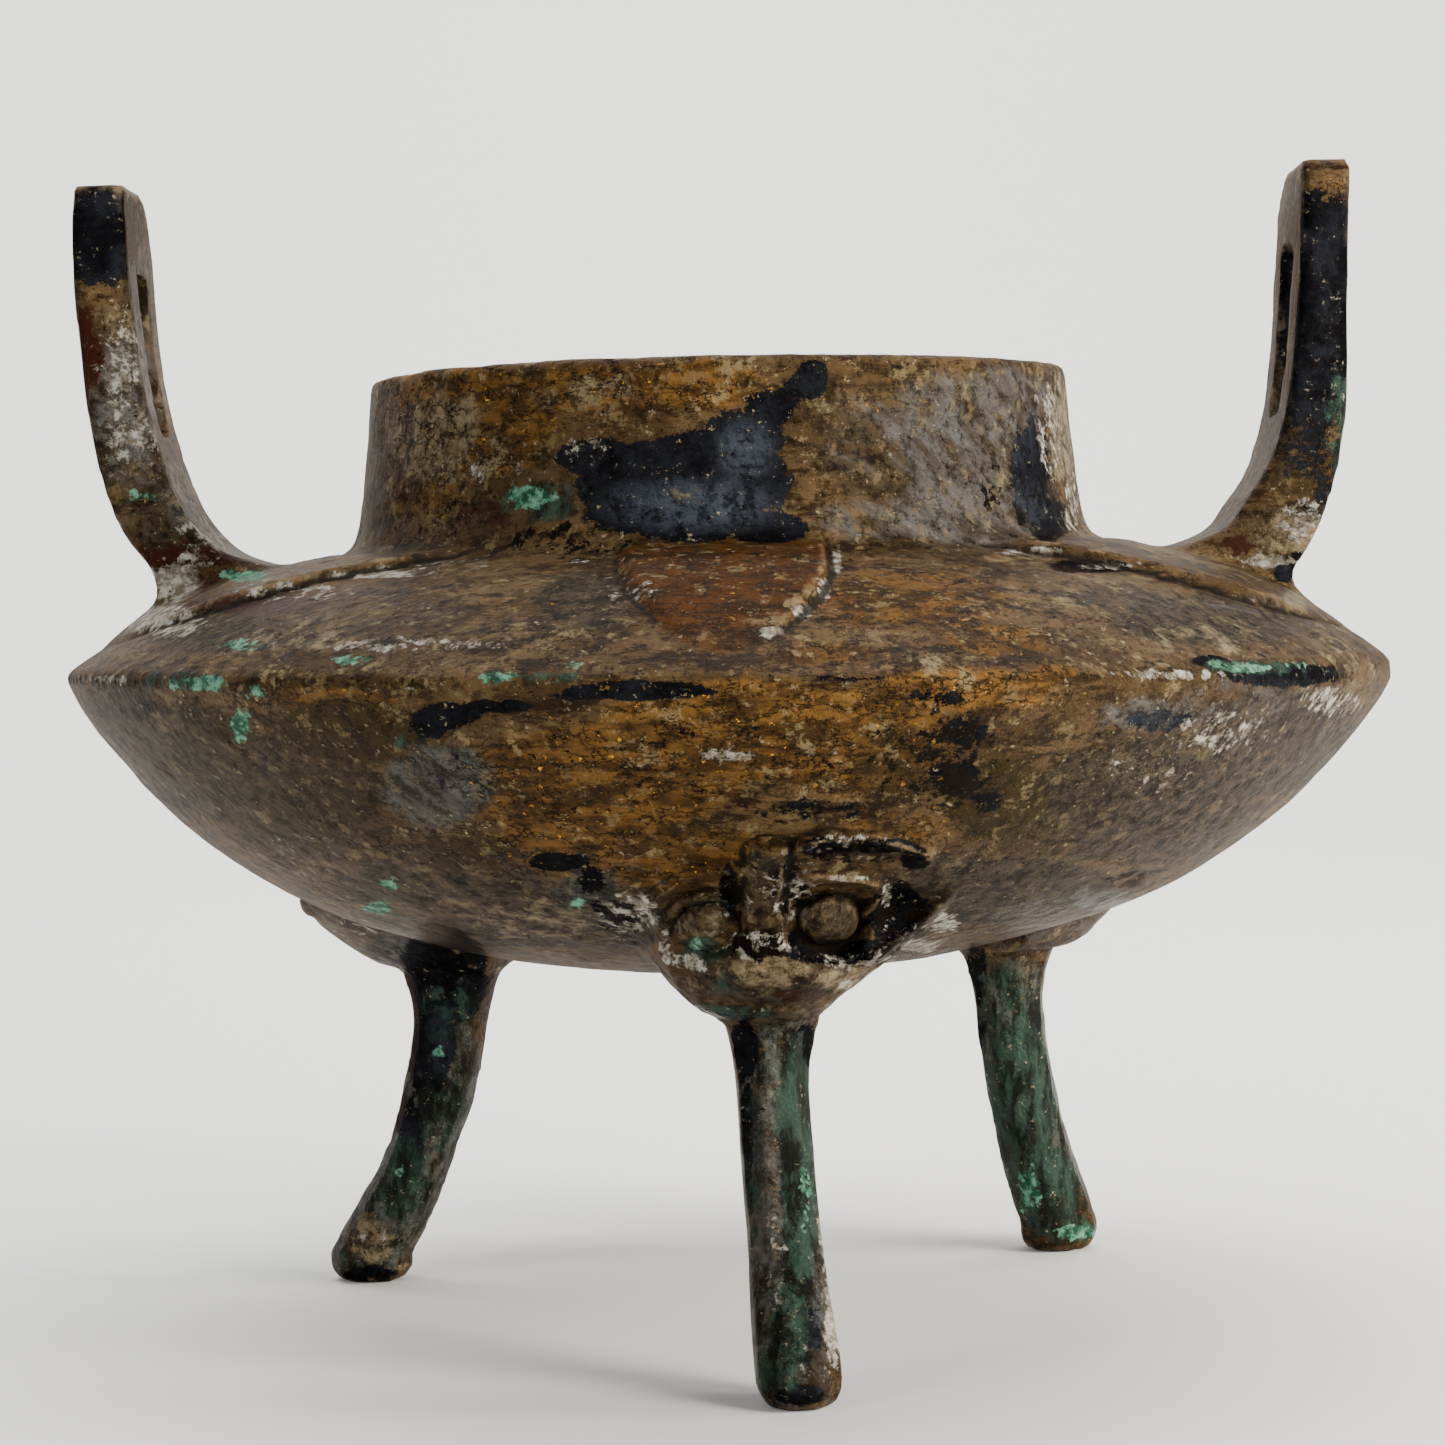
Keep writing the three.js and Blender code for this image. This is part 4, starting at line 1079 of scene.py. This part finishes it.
def build_vessel():
    side = BELLY_RADIUS + SIDE_ROOM
    xs = grid_line(-side, side, FRONT_MASK_ACROSS)
    ys = grid_line(-side, side, FRONT_MASK_DEEP)
    zs = grid_line(-GROUND_ROOM, LEFT_HANDLE_TOP + TOP_ROOM, FRONT_MASK_UP)
    vertices, quads = surface_nets(grid_field(xs, ys, zs), xs, ys, zs)
    made = mesh_object("vessel", settle(vertices.astype(float)) / 1000, quads.tolist())
    p = vertex_places(made) * 1000
    hidden = cavity_field(*p.T) < 0.6
    detail = np.where(hidden, INSIDE_DETAIL, np.where(p[:, 1] > 25, BACK_DETAIL, FRONT_DETAIL))
    near_front_mask = (p[:, 1] < -45) & (p[:, 2] > 48) & (p[:, 2] < 84) & (np.abs(p[:, 0] - 6) < 24)
    detail = np.where(near_front_mask & ~hidden, MASK_DETAIL, detail)
    thin_out(made, KEPT_SHARE, detail)
    p = vertex_places(made) * 1000
    slope = field_slope(p, 0.4)
    normal = slope / np.linalg.norm(slope, axis=1)[:, None]
    around = np.zeros(len(p))
    side = np.cross(normal, (0.3, 0.2, 0.9))
    side /= np.linalg.norm(side, axis=1)[:, None]
    across = np.cross(normal, side)
    for direction in (side, -side, across, -across):
        around += vessel_field(*(p + 1.2 * direction).T)
    inside = smooth(0.9, 0.3, cavity_field(*p.T)) * (p[:, 2] < RIM_TOP - 0.3)
    p = corroded(p)
    made.data.vertices.foreach_set("co", (p / 1000).ravel())
    # crevice shade: painted shade wherever the surface is hollow
    store(made.data, "crevice shade", smooth(0.15, 1.4, -around) * (1 - inside))
    # raised edges, for wear rubbed bare and for a painted highlight alike
    store(made.data, "edge wear and highlight", smooth(0.5, 1.9, around) * (1 - inside))
    store(made.data, "inside", inside)
    petal = leaf_half_width(-p[:, 1], FRONT_LEAF_HALF_WIDTH, FRONT_LEAF_TIP)
    petal = petal - np.abs(p[:, 0] - NECK_OFFSET_X)
    petal = smooth(-0.6, 0.6, petal) * smooth(NECK_BASE_RADIUS - 1, NECK_BASE_RADIUS + 1, -p[:, 1])
    store(made.data, "petal", petal * smooth(BELLY_EDGE_HEIGHT + 2, BELLY_EDGE_HEIGHT + 4, p[:, 2]))
    on_body = (p[:, 2] > 66) & ((np.abs(p[:, 0]) < 70) | (p[:, 2] < 112))
    front = np.where(on_body, smooth(14, -6, p[:, 1]), smooth(0.5, 0.1, normal[:, 1]))
    rng = np.random.default_rng(11)
    seen, seen_behind = in_picture(p), in_picture(p * (-1, -1, 1))
    for name, rows in PATCHES.items():
        store(made.data, name, patch_values(seen, seen_behind, rows, front, rng))
    made.data.polygons.foreach_set("use_smooth", [True] * len(made.data.polygons))
    made.data.update()
    return made


vessel = build_vessel()
vessel.data.materials.clear()
vessel.data.materials.append(corroded_bronze())
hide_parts("ding")
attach(vessel, "root")


def backdrop():
    """A pale floor that rises in one sweep behind the vessel, in metres."""
    bend = 0.8
    line = [(-2.2, 0), (0.9, 0)]
    line += [(0.9 + bend * math.sin(t), bend - bend * math.cos(t))
             for t in np.linspace(0.1, math.pi / 2, 12)]
    line += [(0.9 + bend, 3.0)]
    vertices = [(x, y, z) for y, z in line for x in (-3.0, 3.0)]
    faces = [(2 * i, 2 * i + 1, 2 * i + 3, 2 * i + 2) for i in range(len(line) - 1)]
    made = mesh_object("backdrop", vertices, faces)
    made.data.polygons.foreach_set("use_smooth", [True] * len(faces))
    # Matt paper gives the eye an even pale ground without a reflection.
    paper = bpy.data.materials.new("matt white paper")
    paper.use_nodes = True
    shader = paper.node_tree.nodes["Principled BSDF"]
    shader.inputs["Base Color"].default_value = colour("f2f1ee")
    shader.inputs["Roughness"].default_value = 0.9
    made.data.materials.append(paper)


# The studio: places and sizes in metres and power in watts.
def soft_light(name, place, target, width, height, power, tint="ffffff"):
    light = bpy.data.lights.new(name, "AREA")
    light.shape = "RECTANGLE"
    light.size, light.size_y = width, height
    light.energy = power
    light.color = colour(tint)[:3]
    made = bpy.data.objects.new(name, light)
    bpy.context.scene.collection.objects.link(made)
    made.location = place
    made.rotation_euler = (Vector(target) - Vector(place)).to_track_quat("-Z", "Y").to_euler()


def photo_camera():
    """The photograph's viewpoint."""
    data = bpy.data.cameras.new("camera")
    data.lens = VIEW_LENS
    data.sensor_width = SENSOR_WIDTH
    made = bpy.data.objects.new("camera", data)
    bpy.context.scene.collection.objects.link(made)
    made.matrix_world = Matrix.Translation(Vector(VIEW_PLACE) / 1000) @ VIEW_TURN.to_4x4()
    bpy.context.scene.camera = made


backdrop()
photo_camera()
middle = (0, 0, 0.09)
soft_light("window", (0.9, -0.55, 0.42), middle, 0.4, 0.9, 22, "fffaf2")
soft_light("left fill", (-1.0, -0.8, 0.45), middle, 0.5, 0.6, 7.0, "f4f6ff")
soft_light("right strip", (0.8, -0.08, 0.15), (0, -0.04, 0.06), 0.18, 0.36, 7, "fffaf2")
soft_light("overhead", (0.0, 0.1, 1.1), middle, 1.2, 0.9, 14)
soft_light("paper light", (0.0, 0.7, 1.3), (0, 1.5, 0.25), 1.8, 0.5, 32)
world = bpy.data.worlds.new("studio")
world.use_nodes = True
world.node_tree.nodes["Background"].inputs["Color"].default_value = colour("e9edf2")
world.node_tree.nodes["Background"].inputs["Strength"].default_value = 0.2
bpy.context.scene.world = world
